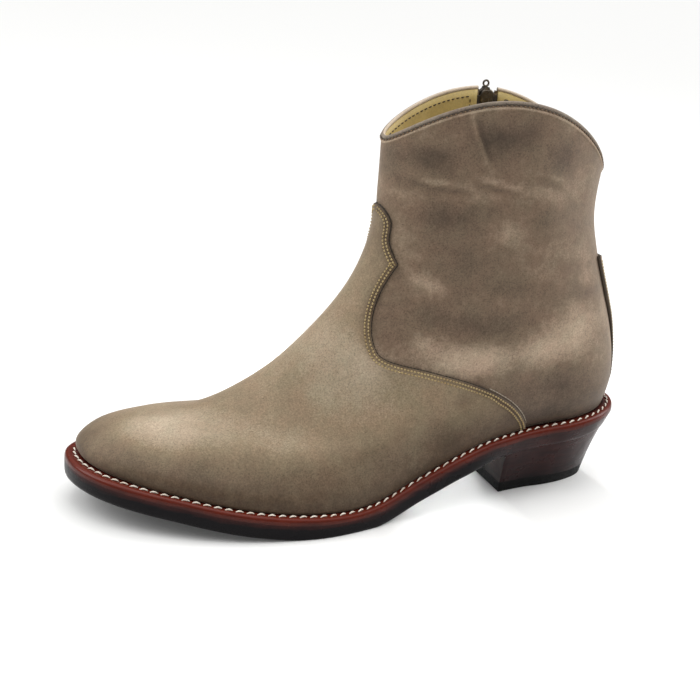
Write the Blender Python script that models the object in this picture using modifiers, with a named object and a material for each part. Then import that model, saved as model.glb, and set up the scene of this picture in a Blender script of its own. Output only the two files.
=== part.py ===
"""Left western ankle boot, built as separate pieces round one last form.

All sizes below are millimetres; MM turns them into metres when a mesh is made.
The toe points to -X, the heel to +X, the outer side of the foot to -Y, and the floor is z = 0.
Table stations are measured from the toe end of the sole.
"""
import math
from collections import namedtuple

import bmesh
import bpy
import numpy as np
from mathutils import Matrix, Vector

MM = 0.001
OBJECT_NAME = "western_boot"

# Driving dimensions
SOLE_LENGTH = 300.0
AXIS_SHIFT = 2.55
GAP = 0.3
WALL = 2.0
WELT_MARGIN = 5.5
TOE_GROWTH = 0.5
TOE_START = 0.85
WELT_DEPTH = 3.7
WELT_INSET = 8.0
SOLE_DEPTH = 12.0
OUTSOLE_PROUD = 0.5
EDGE_ROUND = 0.8
INSOLE_DEPTH = 2.0
INSOLE_INSET = 3.2
VAMP_DEPTH = 1.2
BACKSTAY_DEPTH = 1.8
BINDING_RADIUS = 1.15

# Heel: an underslung block under the back of the sole
HEEL_BREAST = 223.5
HEEL_BREAST_FOOT = 226.5
HEEL_BACK_FOOT = 287.5
HEEL_INSET = -0.3
HEEL_SOLE_TUCK = 3.4
TUCK_START = 196.0
TUCK_END = 226.0
HEEL_FOOT_FRONT_SHARE = 0.67
HEEL_FOOT_BACK_SHARE = 0.50
HEEL_PINCH = 0.012
HEEL_ROWS = 4
TOP_LIFT_DEPTH = 6.5

# Zip on the inner side: a straight line seen from the side
ZIP_TOP_X = 223.5
ZIP_FOOT_X = 227.0
ZIP_FOOT_Z = 67.0
ZIP_SLOT_WIDTH = 9.0
ZIP_TAPE_WIDTH = 24.0
ZIP_TAPE_DEPTH = 0.8
ZIP_CHAIN_WIDTH = 5.6
ZIP_PITCH = 3.2
ZIP_TOOTH_SHARE = 0.55
ZIP_TOOTH_RISE = 0.9
ZIP_TOOTH_FACE = 0.2
ZIP_TAPE_BELOW = 6.0
ZIP_END_GAP = 2.0

# Slider and its pull tab, in the slider's own axes
SLIDER_WIDTH = 8.4
SLIDER_ABOVE_COLLAR = 1.5
SLIDER_LENGTH = 12.0
SLIDER_DEPTH = 2.6
EAR_DEPTH = 1.1
EAR_LENGTH = 3.4
PIN_RADIUS = 0.6
BARREL_RADIUS = 1.6
TAB_LENGTH = 24.0
TAB_WIDTH = 5.6
TAB_DEPTH = 1.4
BEVEL_WIDTH = 0.5

# Where the slider and its pin stand off the wall
SLIDER_BACK = ZIP_TOOTH_FACE + GAP
SLIDER_FACE = SLIDER_BACK + SLIDER_DEPTH
PIN_OUT = SLIDER_FACE + GAP + BARREL_RADIUS
PIN_UP = 2.0

# Mesh resolution
AROUND = 52
ROWS = 18
ROW_CROWDING = 1.25
SOLE_POINTS = 72
EDGE_STEPS = 3
ROD_SIDES = 12
NORMAL_STEP = 0.002
FEATHER_LEVEL = 0.04

# Height of the welt's top edge along the foot
SolePoint = namedtuple("SolePoint", "x height")
SOLE_LINE = (
    SolePoint(0.0, 26.8),
    SolePoint(42.0, 21.3),
    SolePoint(82.0, 14.5),
    SolePoint(112.0, 11.4),
    SolePoint(150.0, 12.6),
    SolePoint(172.0, 21.3),
    SolePoint(192.0, 30.8),
    SolePoint(210.0, 36.4),
    SolePoint(230.0, 39.0),
    SolePoint(264.0, 42.2),
    SolePoint(302.0, 46.0),
)

# Rings of the last seen from the side: each runs from a point on the back to a point on the front.
# sole_share bends a ring along the sole's curve, rise lifts its middle.
SideRing = namedtuple("SideRing", "name front_x front_z back_x back_z sole_share rise")
SIDE_RINGS = (
    SideRing("feather", 9.0, 25.9, 294.0, 45.4, 1.00, 0.0),
    SideRing("toe_wall", 7.0, 31.6, 295.5, 52.0, 0.97, 0.0),
    SideRing("toe_rise", 13.5, 38.4, 296.6, 58.0, 0.92, 0.0),
    SideRing("toe_top", 32.0, 45.8, 296.8, 64.0, 0.82, 0.0),
    SideRing("vamp_low", 62.0, 48.4, 296.2, 71.5, 0.65, 0.0),
    SideRing("vamp_high", 95.0, 62.2, 294.2, 81.5, 0.42, 0.0),
    SideRing("instep", 122.0, 85.8, 290.8, 94.0, 0.20, 0.5),
    SideRing("throat", 143.2, 112.6, 285.6, 109.0, 0.05, 4.5),
    SideRing("ankle", 153.0, 138.2, 280.0, 126.5, 0.00, 8.5),
    SideRing("shaft", 154.0, 162.5, 275.2, 147.5, 0.00, 16.0),
    SideRing("collar", 154.0, 187.5, 277.0, 171.5, 0.00, 30.0),
)

# The same rings seen from above: half widths at heel, waist and ball on the outer and inner side,
# the shares of the ring that round off its back and front, and how far the toe swings inward.
PlanRing = namedtuple(
    "PlanRing",
    "name outer_heel outer_waist outer_ball inner_heel inner_waist inner_ball back_round front_round swing",
)
PLAN_RINGS = (
    PlanRing("feather", 28.5, 40.0, 56.0, 28.5, 26.0, 40.0, 0.14, 0.32, 12.0),
    PlanRing("toe_wall", 31.0, 40.5, 55.5, 31.0, 28.5, 41.5, 0.15, 0.33, 11.5),
    PlanRing("toe_rise", 32.5, 40.0, 51.5, 32.5, 31.0, 41.0, 0.16, 0.36, 11.0),
    PlanRing("toe_top", 33.0, 38.5, 46.2, 33.0, 33.5, 35.0, 0.18, 0.42, 6.4),
    PlanRing("vamp_low", 33.0, 36.5, 41.6, 33.0, 35.5, 32.0, 0.20, 0.50, 4.5),
    PlanRing("vamp_high", 33.0, 36.5, 37.5, 33.0, 36.0, 36.0, 0.23, 0.55, 4.0),
    PlanRing("instep", 33.5, 37.0, 36.5, 33.5, 36.5, 36.0, 0.28, 0.58, 1.5),
    PlanRing("throat", 33.0, 35.5, 34.0, 33.5, 35.5, 34.5, 0.34, 0.56, 0.5),
    PlanRing("ankle", 32.5, 34.5, 33.8, 33.0, 35.0, 34.0, 0.40, 0.54, 0.0),
    PlanRing("shaft", 31.5, 33.5, 33.0, 32.0, 34.0, 33.0, 0.45, 0.52, 0.0),
    PlanRing("collar", 31.0, 32.5, 31.5, 31.5, 33.0, 32.0, 0.48, 0.52, 0.0),
)
HEEL_STATION, WAIST_STATION, BALL_STATION = 0.15, 0.40, 0.65

# How the lift of a ring's middle leans to the back and how full it is, on each side
RiseShape = namedtuple("RiseShape", "skew fullness")
OUTER_RISE = RiseShape(0.95, 0.9)
INNER_RISE = RiseShape(0.75, 1.1)

# Vamp's edge seen from the side, from the tab's tip on the front down to the welt
EdgePoint = namedtuple("EdgePoint", "x z")
VAMP_EDGE = (
    EdgePoint(148.5, 162.0),
    EdgePoint(157.0, 149.5),
    EdgePoint(157.0, 137.0),
    EdgePoint(160.0, 127.5),
    EdgePoint(152.0, 112.0),
    EdgePoint(147.5, 98.0),
    EdgePoint(148.0, 87.0),
    EdgePoint(154.0, 80.5),
    EdgePoint(177.0, 75.0),
    EdgePoint(200.0, 68.0),
    EdgePoint(219.5, 58.0),
    EdgePoint(230.5, 47.5),
    EdgePoint(235.0, 37.0),
    EdgePoint(237.5, 16.0),
)
VAMP_CUSP = 3

# Backstay seen from behind: half width at each height
StayRow = namedtuple("StayRow", "z half_width")
BACKSTAY_ROWS = (
    StayRow(31.0, 8.0),
    StayRow(71.0, 9.5),
    StayRow(98.0, 14.0),
    StayRow(126.0, 17.0),
)


def smooth_curve(knots, values, at):
    """Cubic curve through the table's values, evaluated at one place or many."""
    knots = np.asarray(knots, float)
    values = np.asarray(values, float)
    step = np.diff(knots)
    slope = np.diff(values) / step
    tangent = np.empty_like(values)
    tangent[1:-1] = (slope[:-1] * step[1:] + slope[1:] * step[:-1]) / (step[:-1] + step[1:])
    tangent[0] = 1.5 * slope[0] - 0.5 * tangent[1]
    tangent[-1] = 1.5 * slope[-1] - 0.5 * tangent[-2]
    span = np.clip(np.searchsorted(knots, at) - 1, 0, len(step) - 1)
    share = (at - knots[span]) / step[span]
    rest = 1.0 - share
    return (
        (1 + 2 * share) * rest**2 * values[span]
        + share * rest**2 * step[span] * tangent[span]
        + share**2 * (3 - 2 * share) * values[span + 1]
        - share**2 * rest * step[span] * tangent[span + 1]
    )


def welt_height(x):
    """Height of the welt's top edge at a station."""
    return smooth_curve([row.x for row in SOLE_LINE], [row.height for row in SOLE_LINE], np.asarray(x, float))


def ring_levels():
    """Level of each ring, 0 at the feather line and 1 at the collar, by its mean climb."""
    climbs = [0.0]
    for low, high in zip(SIDE_RINGS, SIDE_RINGS[1:]):
        front = math.hypot(high.front_x - low.front_x, high.front_z - low.front_z)
        back = math.hypot(high.back_x - low.back_x, high.back_z - low.back_z)
        climbs.append(climbs[-1] + (front + back) / 2)
    return np.array(climbs) / climbs[-1]


LEVELS = ring_levels()


def side_value(column, level):
    return smooth_curve(LEVELS, [getattr(row, column) for row in SIDE_RINGS], level)


def plan_value(column, level):
    return smooth_curve(LEVELS, [getattr(row, column) for row in PLAN_RINGS], level)


def sole_bend(x):
    """How far the feather line departs from the straight line between its two ends."""
    feather = SIDE_RINGS[0]
    share = (feather.back_x - x) / (feather.back_x - feather.front_x)
    return welt_height(x) - feather.back_z - (feather.front_z - feather.back_z) * share


def rise_arch(along, shape):
    skewed = along**shape.skew
    return (4 * skewed * (1 - skewed)) ** shape.fullness


def side_point(along, level, inner):
    """Station and height of a ring's point; along is 0 at the back and 1 at the front."""
    front_x = side_value("front_x", level)
    back_x = side_value("back_x", level)
    front_z = side_value("front_z", level)
    back_z = side_value("back_z", level)
    x = back_x + (front_x - back_x) * along
    bend = sole_bend(x) - (1 - along) * sole_bend(back_x) - along * sole_bend(front_x)
    arch = np.where(inner, rise_arch(along, INNER_RISE), rise_arch(along, OUTER_RISE))
    z = back_z + (front_z - back_z) * along
    z = z + side_value("sole_share", level) * bend + side_value("rise", level) * arch
    return x, z


def ease(low, high, at):
    share = np.clip((at - low) / (high - low), 0.0, 1.0)
    return share * share * (3 - 2 * share)


def end_round(share):
    """Quarter ellipse that closes a ring at its front or back end."""
    rest = 1.0 - np.clip(share, 0.0, 1.0)
    return np.sqrt(np.maximum(1.0 - rest * rest, 0.0))


def half_width(side, along, level):
    heel = plan_value(side + "_heel", level)
    waist = plan_value(side + "_waist", level)
    ball = plan_value(side + "_ball", level)
    width = heel + (waist - heel) * ease(HEEL_STATION, WAIST_STATION, along)
    width = width + (ball - waist) * ease(WAIST_STATION, BALL_STATION, along)
    back = end_round(along / plan_value("back_round", level))
    front = end_round((1 - along) / plan_value("front_round", level))
    return width * back * front


def form(turn, level):
    """Point of the last's outer form.

    turn goes once round a ring: 0 at the back, 0 to 1 forward along the outer side,
    1 at the front, 1 to 2 back along the inner side.
    """
    turn, level = np.broadcast_arrays(np.asarray(turn, float), np.asarray(level, float))
    turn = np.mod(turn, 2.0)
    along = (1 - np.cos(math.pi * turn)) / 2
    inner_half = turn > 1.0
    x, z = side_point(along, level, inner_half)
    outer = -half_width("outer", along, level)
    inner = half_width("inner", along, level)
    y = AXIS_SHIFT + plan_value("swing", level) * along**2 + np.where(inner_half, inner, outer)
    return np.stack([x - SOLE_LENGTH / 2, y, z], -1)


def form_normal(turn, level):
    """Outward unit normal of the form, level along the feather line."""
    across = form(turn + NORMAL_STEP, level) - form(turn - NORMAL_STEP, level)
    low = np.clip(level - NORMAL_STEP, 0.0, 1.0)
    high = np.clip(level + NORMAL_STEP, 0.0, 1.0)
    up = form(turn, high) - form(turn, low)
    normal = np.cross(up, across)
    normal[..., 2] *= np.clip(np.asarray(level) / FEATHER_LEVEL, 0.0, 1.0)
    return normal / np.linalg.norm(normal, axis=-1, keepdims=True)


def form_offset(turn, level, distance):
    turn, level = np.broadcast_arrays(np.asarray(turn, float), np.asarray(level, float))
    return form(turn, level) + distance * form_normal(turn, level)


def turn_and_level(x, z, inner):
    """Where a point seen from the side lies on the outer or inner half of the form."""
    low, high = 0.0, 1.0
    for _ in range(40):
        level = (low + high) / 2
        back_x = side_value("back_x", level)
        front_x = side_value("front_x", level)
        along = np.clip((back_x - x) / (back_x - front_x), 0.0, 1.0)
        if side_point(along, level, inner)[1] < z:
            low = level
        else:
            high = level
    turn = math.acos(1 - 2 * along) / math.pi
    return (2 - turn if inner else turn), level


def feather_outline(margin, count):
    """Outline of the feather line grown by a margin, more at the toe: rows of x, y from the back."""
    turns = np.arange(count) * 2.0 / count
    outline = form(turns, 0.0)
    tangent = form(turns + NORMAL_STEP, 0.0) - form(turns - NORMAL_STEP, 0.0)
    outward = np.stack([-tangent[:, 1], tangent[:, 0]], -1)
    outward /= np.linalg.norm(outward, axis=1, keepdims=True)
    middle = outline[:, :2].mean(axis=0)
    facing = np.sign(((outline[:, :2] - middle) * outward).sum())
    along = (1 - np.cos(math.pi * turns)) / 2
    growth = TOE_GROWTH * ease(TOE_START, 1.0, along) if margin > 0 else np.zeros(count)
    return outline[:, :2] + margin * (1 + growth)[:, None] * facing * outward


def collection(name):
    made = bpy.data.collections.new(name)
    bpy.context.scene.collection.children.link(made)
    return made


def material(name, colour, roughness, metallic=0.0):
    made = bpy.data.materials.new(name)
    made.use_nodes = True
    shader = made.node_tree.nodes["Principled BSDF"]
    shader.inputs["Base Color"].default_value = (*colour, 1.0)
    shader.inputs["Roughness"].default_value = roughness
    shader.inputs["Metallic"].default_value = metallic
    return made


def add_piece(name, mesh, finish, smooth_angle=40.0):
    """Add a sub-part of the boot."""
    made = bpy.data.objects.new(name, mesh)
    mesh.materials.append(finish)
    mesh.shade_smooth()
    mesh.set_sharp_from_angle(angle=math.radians(smooth_angle))
    PARTS.objects.link(made)
    return made


def add_cutter(name, mesh):
    """Add a shape that only cuts or joins another piece."""
    made = bpy.data.objects.new(name, mesh)
    made.hide_render = True
    made.display_type = "WIRE"
    CUTTERS.objects.link(made)
    return made


def cut(piece, cutter, operation):
    boolean = piece.modifiers.new(cutter.name, "BOOLEAN")
    boolean.operation = operation
    boolean.solver = "EXACT"
    boolean.object = cutter
    return piece


def round_edges(piece):
    bevel = piece.modifiers.new("rounded", "BEVEL")
    bevel.width = BEVEL_WIDTH * MM
    bevel.segments = 2


def finish_mesh(made, name):
    bmesh.ops.recalc_face_normals(made, faces=made.faces)
    mesh = bpy.data.meshes.new(name)
    made.to_mesh(mesh)
    made.free()
    return mesh


def cap_ring(made, ring, tip):
    """Close a ring with rungs between its two sides; tip means it starts at a single end point."""
    facing = ring[:1] + ring[:0:-1] if tip else ring[::-1]
    for i in range(len(ring) // 2):
        corners = list(dict.fromkeys((ring[i], ring[i + 1], facing[i + 1], facing[i])))
        if len(corners) > 2:
            made.faces.new(corners)


def skin_band(made, low, high):
    """Faces between two rings, split the same way on every shell so that offsets stay parallel."""
    for i in range(len(low)):
        j = (i + 1) % len(low)
        made.faces.new((low[i], low[j], high[j]))
        made.faces.new((low[i], high[j], high[i]))


def loft(name, rings, ends):
    """Loft through rings of points in millimetres.

    ends is "joined" to run back to the first ring, "tipped" to cap rings that start at an end
    point, or "capped" to cap rings that start beside their middle line.
    """
    made = bmesh.new()
    rows = [[made.verts.new(Vector(point) * MM) for point in ring] for ring in rings]
    followers = rows[1:] + rows[:1] if ends == "joined" else rows[1:]
    for low, high in zip(rows, followers):
        skin_band(made, low, high)
    if ends != "joined":
        cap_ring(made, rows[0], ends == "tipped")
        cap_ring(made, rows[-1], ends == "tipped")
    return finish_mesh(made, name)


def shell(name, inside, outside):
    """Closed shell between two offsets of the form, open at the collar and underneath."""
    turns = np.arange(AROUND) * 2.0 / AROUND
    levels = (np.arange(ROWS + 1) / ROWS) ** ROW_CROWDING
    made = bmesh.new()
    walls = []
    for offset in (inside, outside):
        rings = [form_offset(turns, level, offset) for level in levels]
        walls.append([[made.verts.new(Vector(point) * MM) for point in ring] for ring in rings])
    for rows in walls:
        for low, high in zip(rows, rows[1:]):
            skin_band(made, low, high)
    inner, outer = walls
    skin_band(made, inner[0], outer[0])
    skin_band(made, inner[-1], outer[-1])
    return finish_mesh(made, name)


def prism(name, near, far):
    """Cutter between two equal outlines."""
    made = bmesh.new()
    first, last = [[made.verts.new(Vector(point) * MM) for point in end] for end in (near, far)]
    made.faces.new(first)
    made.faces.new(last[::-1])
    for i in range(len(first)):
        j = (i + 1) % len(first)
        made.faces.new((first[i], first[j], last[j], last[i]))
    return add_cutter(name, finish_mesh(made, name))


def side_prism(name, outline, first_y, last_y):
    """Side-view outline of stations and heights, pushed across the boot."""
    ends = [[(x - SOLE_LENGTH / 2, y, z) for x, z in outline] for y in (first_y, last_y)]
    return prism(name, *ends)


def back_prism(name, outline, first_x, last_x):
    """Back-view outline of widths and heights, pushed along the boot."""
    ends = [[(x - SOLE_LENGTH / 2, AXIS_SHIFT + y, z) for y, z in outline] for x in (first_x, last_x)]
    return prism(name, *ends)


def sole_ring(margin, drop, lowest=-math.inf):
    """Outline of the sole grown by a margin, a drop below the welt's top edge."""
    outline = feather_outline(margin, SOLE_POINTS)
    heights = welt_height(outline[:, 0] + SOLE_LENGTH / 2) - drop
    return np.column_stack([outline, np.maximum(heights, lowest)])


def tucked_ring(margin, drop, lowest=-math.inf):
    """Ring of the sole's edge, drawn in over the heel so that its slant runs on into the heel."""
    share = (drop - WELT_DEPTH) / (SOLE_DEPTH - WELT_DEPTH)
    ring = sole_ring(margin, drop, lowest)
    inside = sole_ring(margin - HEEL_SOLE_TUCK * share, drop, lowest)
    return ring + (inside - ring) * ease(TUCK_START, TUCK_END, ring[:, :1] + SOLE_LENGTH / 2)


def build_outsole():
    margin = WELT_MARGIN + OUTSOLE_PROUD
    top = WELT_DEPTH + GAP
    rings = [
        tucked_ring(margin - EDGE_ROUND, top),
        tucked_ring(margin, top + EDGE_ROUND),
        tucked_ring(margin, SOLE_DEPTH - EDGE_ROUND, EDGE_ROUND),
        tucked_ring(margin - EDGE_ROUND, SOLE_DEPTH, 0.0),
    ]
    finish = material("outsole_rubber", (0.012, 0.012, 0.013), 0.6)
    return add_piece("outsole", loft("outsole", rings, "tipped"), finish)


def build_welt():
    rings = [
        sole_ring(-WELT_INSET, GAP),
        sole_ring(WELT_MARGIN - EDGE_ROUND, GAP),
        sole_ring(WELT_MARGIN, GAP + EDGE_ROUND),
        sole_ring(WELT_MARGIN, WELT_DEPTH - EDGE_ROUND),
        sole_ring(WELT_MARGIN - EDGE_ROUND, WELT_DEPTH),
        sole_ring(-WELT_INSET, WELT_DEPTH),
    ]
    finish = material("welt_leather", (0.13, 0.035, 0.025), 0.35)
    return add_piece("welt", loft("welt", rings, "joined"), finish)


def heel_outline(share):
    """Stations and widths of the heel at a share of its height: 0 on the floor, 1 under the sole."""
    outline = feather_outline(WELT_MARGIN - HEEL_INSET - HEEL_SOLE_TUCK, SOLE_POINTS)
    stations = outline[:, 0] + SOLE_LENGTH / 2
    behind = np.flatnonzero(stations > HEEL_BREAST + EDGE_ROUND)
    order = np.roll(behind, np.count_nonzero(behind > SOLE_POINTS // 2))
    top_x = stations[order]
    top_y = outline[order, 1]
    shrink = (HEEL_BACK_FOOT - HEEL_BREAST_FOOT) / (stations.max() - HEEL_BREAST)
    foot_x = HEEL_BREAST_FOOT + (top_x - HEEL_BREAST) * shrink
    back_share = (top_x - HEEL_BREAST) / (stations.max() - HEEL_BREAST)
    width_share = HEEL_FOOT_FRONT_SHARE + (HEEL_FOOT_BACK_SHARE - HEEL_FOOT_FRONT_SHARE) * back_share
    foot_y = AXIS_SHIFT + (top_y - AXIS_SHIFT) * width_share
    pinch = 1.0 - HEEL_PINCH * 4 * share * (1 - share)
    breast = HEEL_BREAST_FOOT + (HEEL_BREAST - HEEL_BREAST_FOOT) * share
    x = breast + (foot_x + (top_x - foot_x) * share - breast) * pinch
    y = AXIS_SHIFT + (foot_y + (top_y - foot_y) * share - AXIS_SHIFT) * pinch
    x = np.concatenate([[breast], x, [breast]])
    y = np.concatenate([y[:1], y, y[-1:]])
    return x, y


def heel_ring(share, height):
    """One ring of the heel; height gives the z of each station."""
    x, y = heel_outline(share)
    return np.column_stack([x - SOLE_LENGTH / 2, y, height(x)])


def build_heel():
    lift_share = TOP_LIFT_DEPTH / (welt_height(HEEL_BACK_FOOT) - SOLE_DEPTH)
    stack_foot = TOP_LIFT_DEPTH + GAP

    def stack_height(step):
        return lambda x: stack_foot + (welt_height(x) - SOLE_DEPTH - GAP - stack_foot) * step

    steps = np.arange(HEEL_ROWS + 1) / HEEL_ROWS
    rings = [heel_ring(lift_share + (1 - lift_share) * step, stack_height(step)) for step in steps]
    finish = material("heel_leather", (0.045, 0.018, 0.014), 0.3)
    add_piece("heel_stack", loft("heel_stack", rings, "capped"), finish)
    rings = [
        heel_ring(0.0, lambda x: np.zeros_like(x)),
        heel_ring(lift_share, lambda x: np.full_like(x, TOP_LIFT_DEPTH)),
    ]
    finish = material("top_lift_rubber", (0.01, 0.01, 0.01), 0.55)
    add_piece("heel_top_lift", loft("heel_top_lift", rings, "capped"), finish)


def build_insole():
    rings = [sole_ring(-INSOLE_INSET, 0.0), sole_ring(-INSOLE_INSET, -INSOLE_DEPTH)]
    finish = material("insole_leather", (0.45, 0.31, 0.17), 0.6)
    return add_piece("insole", loft("insole", rings, "tipped"), finish)


def collar_height_at_zip():
    collar = SIDE_RINGS[-1]
    along = (collar.back_x - ZIP_TOP_X) / (collar.back_x - collar.front_x)
    return float(side_point(along, 1.0, True)[1])


def zip_line_x(z):
    share = (z - ZIP_FOOT_Z) / (collar_height_at_zip() - ZIP_FOOT_Z)
    return ZIP_FOOT_X + (ZIP_TOP_X - ZIP_FOOT_X) * share


def zip_prism(name, width, foot_z, top_z):
    """Cutter along the zip, on the inner side of the boot alone."""
    half = width / 2
    foot_x = zip_line_x(foot_z)
    top_x = zip_line_x(top_z)
    outline = [(foot_x - half, foot_z), (foot_x + half, foot_z), (top_x + half, top_z), (top_x - half, top_z)]
    return side_prism(name, outline, AXIS_SHIFT, SOLE_LENGTH)


def build_upper():
    finish = material("shaft_leather", (0.21, 0.165, 0.125), 0.75)
    upper = add_piece("upper", shell("upper", -WALL, 0.0), finish)
    above_collar = collar_height_at_zip() + SLIDER_LENGTH
    return cut(upper, zip_prism("zip_slot", ZIP_SLOT_WIDTH, ZIP_FOOT_Z, above_collar), "DIFFERENCE")


def curve_through(points):
    """Smooth curve through edge points."""
    places = np.arange(len(points), dtype=float)
    at = np.linspace(0.0, len(points) - 1.0, EDGE_STEPS * (len(points) - 1) + 1)
    xs = smooth_curve(places, [point.x for point in points], at)
    zs = smooth_curve(places, [point.z for point in points], at)
    return list(zip(xs, zs))


def vamp_outline():
    """Side view of all that the vamp covers: its edge, closed round the toe and under the sole."""
    tab = curve_through(VAMP_EDGE[: VAMP_CUSP + 1])
    wing = curve_through(VAMP_EDGE[VAMP_CUSP:])
    below = -SOLE_DEPTH
    ahead = -SOLE_DEPTH
    return tab + wing[1:] + [(VAMP_EDGE[-1].x, below), (ahead, below), (ahead, VAMP_EDGE[0].z)]


def build_vamp():
    finish = material("vamp_leather", (0.26, 0.21, 0.15), 0.75)
    vamp = add_piece("vamp", shell("vamp", GAP, GAP + VAMP_DEPTH), finish)
    return cut(vamp, side_prism("vamp_outline", vamp_outline(), -SOLE_LENGTH, SOLE_LENGTH), "INTERSECT")


def build_backstay():
    rows = BACKSTAY_ROWS
    outline = [(row.half_width, row.z) for row in rows] + [(-row.half_width, row.z) for row in rows[::-1]]
    finish = material("backstay_leather", (0.17, 0.12, 0.085), 0.7)
    stay = add_piece("backstay", shell("backstay", GAP, GAP + BACKSTAY_DEPTH), finish)
    return cut(stay, back_prism("backstay_outline", outline, ZIP_FOOT_X, 2 * SOLE_LENGTH), "INTERSECT")


def build_collar_binding():
    """Bead along the rim of the collar, from one side of the zip round to the other."""
    reach = ZIP_SLOT_WIDTH / 2 + BINDING_RADIUS
    collar_z = collar_height_at_zip()
    front_end, _ = turn_and_level(ZIP_TOP_X - reach, collar_z, True)
    back_end, _ = turn_and_level(ZIP_TOP_X + reach, collar_z, True)
    grid = np.arange(-AROUND, AROUND) * 2.0 / AROUND
    inside = grid[(grid > back_end - 2.0) & (grid < front_end)]
    turns = np.concatenate([[back_end - 2.0], inside, [front_end]])
    along = form(turns + NORMAL_STEP, 1.0) - form(turns - NORMAL_STEP, 1.0)
    off_rim = np.cross(along, form_normal(turns, 1.0))
    off_rim *= np.sign(off_rim[:, 2:]) / np.linalg.norm(off_rim, axis=1, keepdims=True)
    rim = form_offset(turns, 1.0, -WALL / 2) + (BINDING_RADIUS + GAP) * off_rim
    curve = bpy.data.curves.new("collar_binding", "CURVE")
    curve.dimensions = "3D"
    curve.bevel_depth = BINDING_RADIUS * MM
    curve.bevel_resolution = 1
    curve.use_fill_caps = True
    spline = curve.splines.new("POLY")
    spline.points.add(len(rim) - 1)
    for point, place in zip(spline.points, rim):
        point.co = (*(place * MM), 1.0)
    curve.materials.append(material("binding_leather", (0.2, 0.165, 0.13), 0.7))
    made = bpy.data.objects.new("collar_binding", curve)
    PARTS.objects.link(made)
    return made


def build_zip_tape():
    face = -(WALL + GAP)
    finish = material("zip_tape_cloth", (0.05, 0.035, 0.025), 0.9)
    tape = add_piece("zip_tape", shell("zip_tape", face - ZIP_TAPE_DEPTH, face), finish)
    foot_z = ZIP_FOOT_Z - ZIP_TAPE_BELOW
    top_z = collar_height_at_zip() - ZIP_END_GAP
    return cut(tape, zip_prism("zip_tape_outline", ZIP_TAPE_WIDTH, foot_z, top_z), "INTERSECT")


def chain_ring(z, face):
    """Cross-section of the zip's chain at a height: its back on the tape, its face at an offset."""
    x = zip_line_x(z)
    half = ZIP_CHAIN_WIDTH / 2
    ring = []
    for station, offset in ((x - half, -WALL), (x + half, -WALL), (x + half, face), (x - half, face)):
        turn, level = turn_and_level(station, z, True)
        ring.append(form_offset(turn, level, offset))
    return ring


def build_zip_teeth():
    """The closed chain: a rail in the slot with a rib for every tooth."""
    foot_z = ZIP_FOOT_Z + ZIP_END_GAP
    count = int((collar_height_at_zip() - ZIP_END_GAP - foot_z) / ZIP_PITCH)
    groove = ZIP_TOOTH_FACE - ZIP_TOOTH_RISE
    rings = []
    for tooth in range(count):
        foot = foot_z + tooth * ZIP_PITCH
        crest = foot + ZIP_PITCH * ZIP_TOOTH_SHARE
        rings += [chain_ring(foot, ZIP_TOOTH_FACE), chain_ring(crest, ZIP_TOOTH_FACE)]
        if tooth < count - 1:
            rings += [chain_ring(crest, groove), chain_ring(foot + ZIP_PITCH, groove)]
    finish = material("zip_metal", (0.09, 0.075, 0.06), 0.35, 0.9)
    return add_piece("zip_teeth", loft("zip_teeth", rings, "capped"), finish, 20.0)


def slider_axes():
    """Frame at the top of the zip: x along the wall, y out of the wall, z up the zip."""
    z = collar_height_at_zip() + SLIDER_ABOVE_COLLAR - SLIDER_LENGTH / 2
    turn, level = turn_and_level(zip_line_x(z), z, True)
    below = z - SLIDER_LENGTH
    below_turn, below_level = turn_and_level(zip_line_x(below), below, True)
    up = Vector(form(turn, level) - form(below_turn, below_level)).normalized()
    out = Vector(form_normal(turn, level))
    out = (out - up * out.dot(up)).normalized()
    frame = Matrix((out.cross(up), out, up)).transposed().to_4x4()
    frame.translation = Vector(form(turn, level)) * MM
    return frame


def box_mesh(name, low, high):
    """Box between two corners, in millimetres."""
    made = bmesh.new()
    size = Vector(high) - Vector(low)
    middle = (Vector(high) + Vector(low)) / 2
    matrix = Matrix.Translation(middle * MM) @ Matrix.Diagonal((*(size * MM), 1.0))
    bmesh.ops.create_cube(made, size=1.0, matrix=matrix)
    return finish_mesh(made, name)


def rod_mesh(name, radius, length, centre):
    """Round rod along the local x axis, in millimetres."""
    made = bmesh.new()
    matrix = Matrix.Translation(Vector(centre) * MM) @ Matrix.Rotation(math.pi / 2, 4, "Y")
    bmesh.ops.create_cone(
        made,
        cap_ends=True,
        segments=ROD_SIDES,
        radius1=radius * MM,
        radius2=radius * MM,
        depth=length * MM,
        matrix=matrix,
    )
    return finish_mesh(made, name)


def build_zip_slider(frame):
    """Slider plate on the chain, with two ears that hold the pin of its pull tab."""
    half = SLIDER_WIDTH / 2
    low = (-half, SLIDER_BACK, -SLIDER_LENGTH / 2)
    high = (half, SLIDER_FACE, SLIDER_LENGTH / 2)
    finish = material("slider_metal", (0.06, 0.05, 0.045), 0.3, 1.0)
    slider = add_piece("zip_slider", box_mesh("zip_slider", low, high), finish, 30.0)
    round_edges(slider)
    ear_inside = TAB_WIDTH / 2 + GAP
    ear_outside = ear_inside + EAR_DEPTH
    ear_foot = SLIDER_FACE - SLIDER_DEPTH / 2
    ear_tip = PIN_OUT + 2 * PIN_RADIUS
    joined = []
    for name, left, right in (("ear_toe", -ear_outside, -ear_inside), ("ear_heel", ear_inside, ear_outside)):
        low = (left, ear_foot, PIN_UP - EAR_LENGTH / 2)
        high = (right, ear_tip, PIN_UP + EAR_LENGTH / 2)
        joined.append(add_cutter(name, box_mesh(name, low, high)))
    pin = rod_mesh("slider_pin", PIN_RADIUS, ear_inside + ear_outside, (0.0, PIN_OUT, PIN_UP))
    joined.append(add_cutter("slider_pin", pin))
    for extra in joined:
        cut(slider, extra, "UNION")
    for placed in (slider, *joined):
        placed.matrix_world = frame
    return slider


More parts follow.
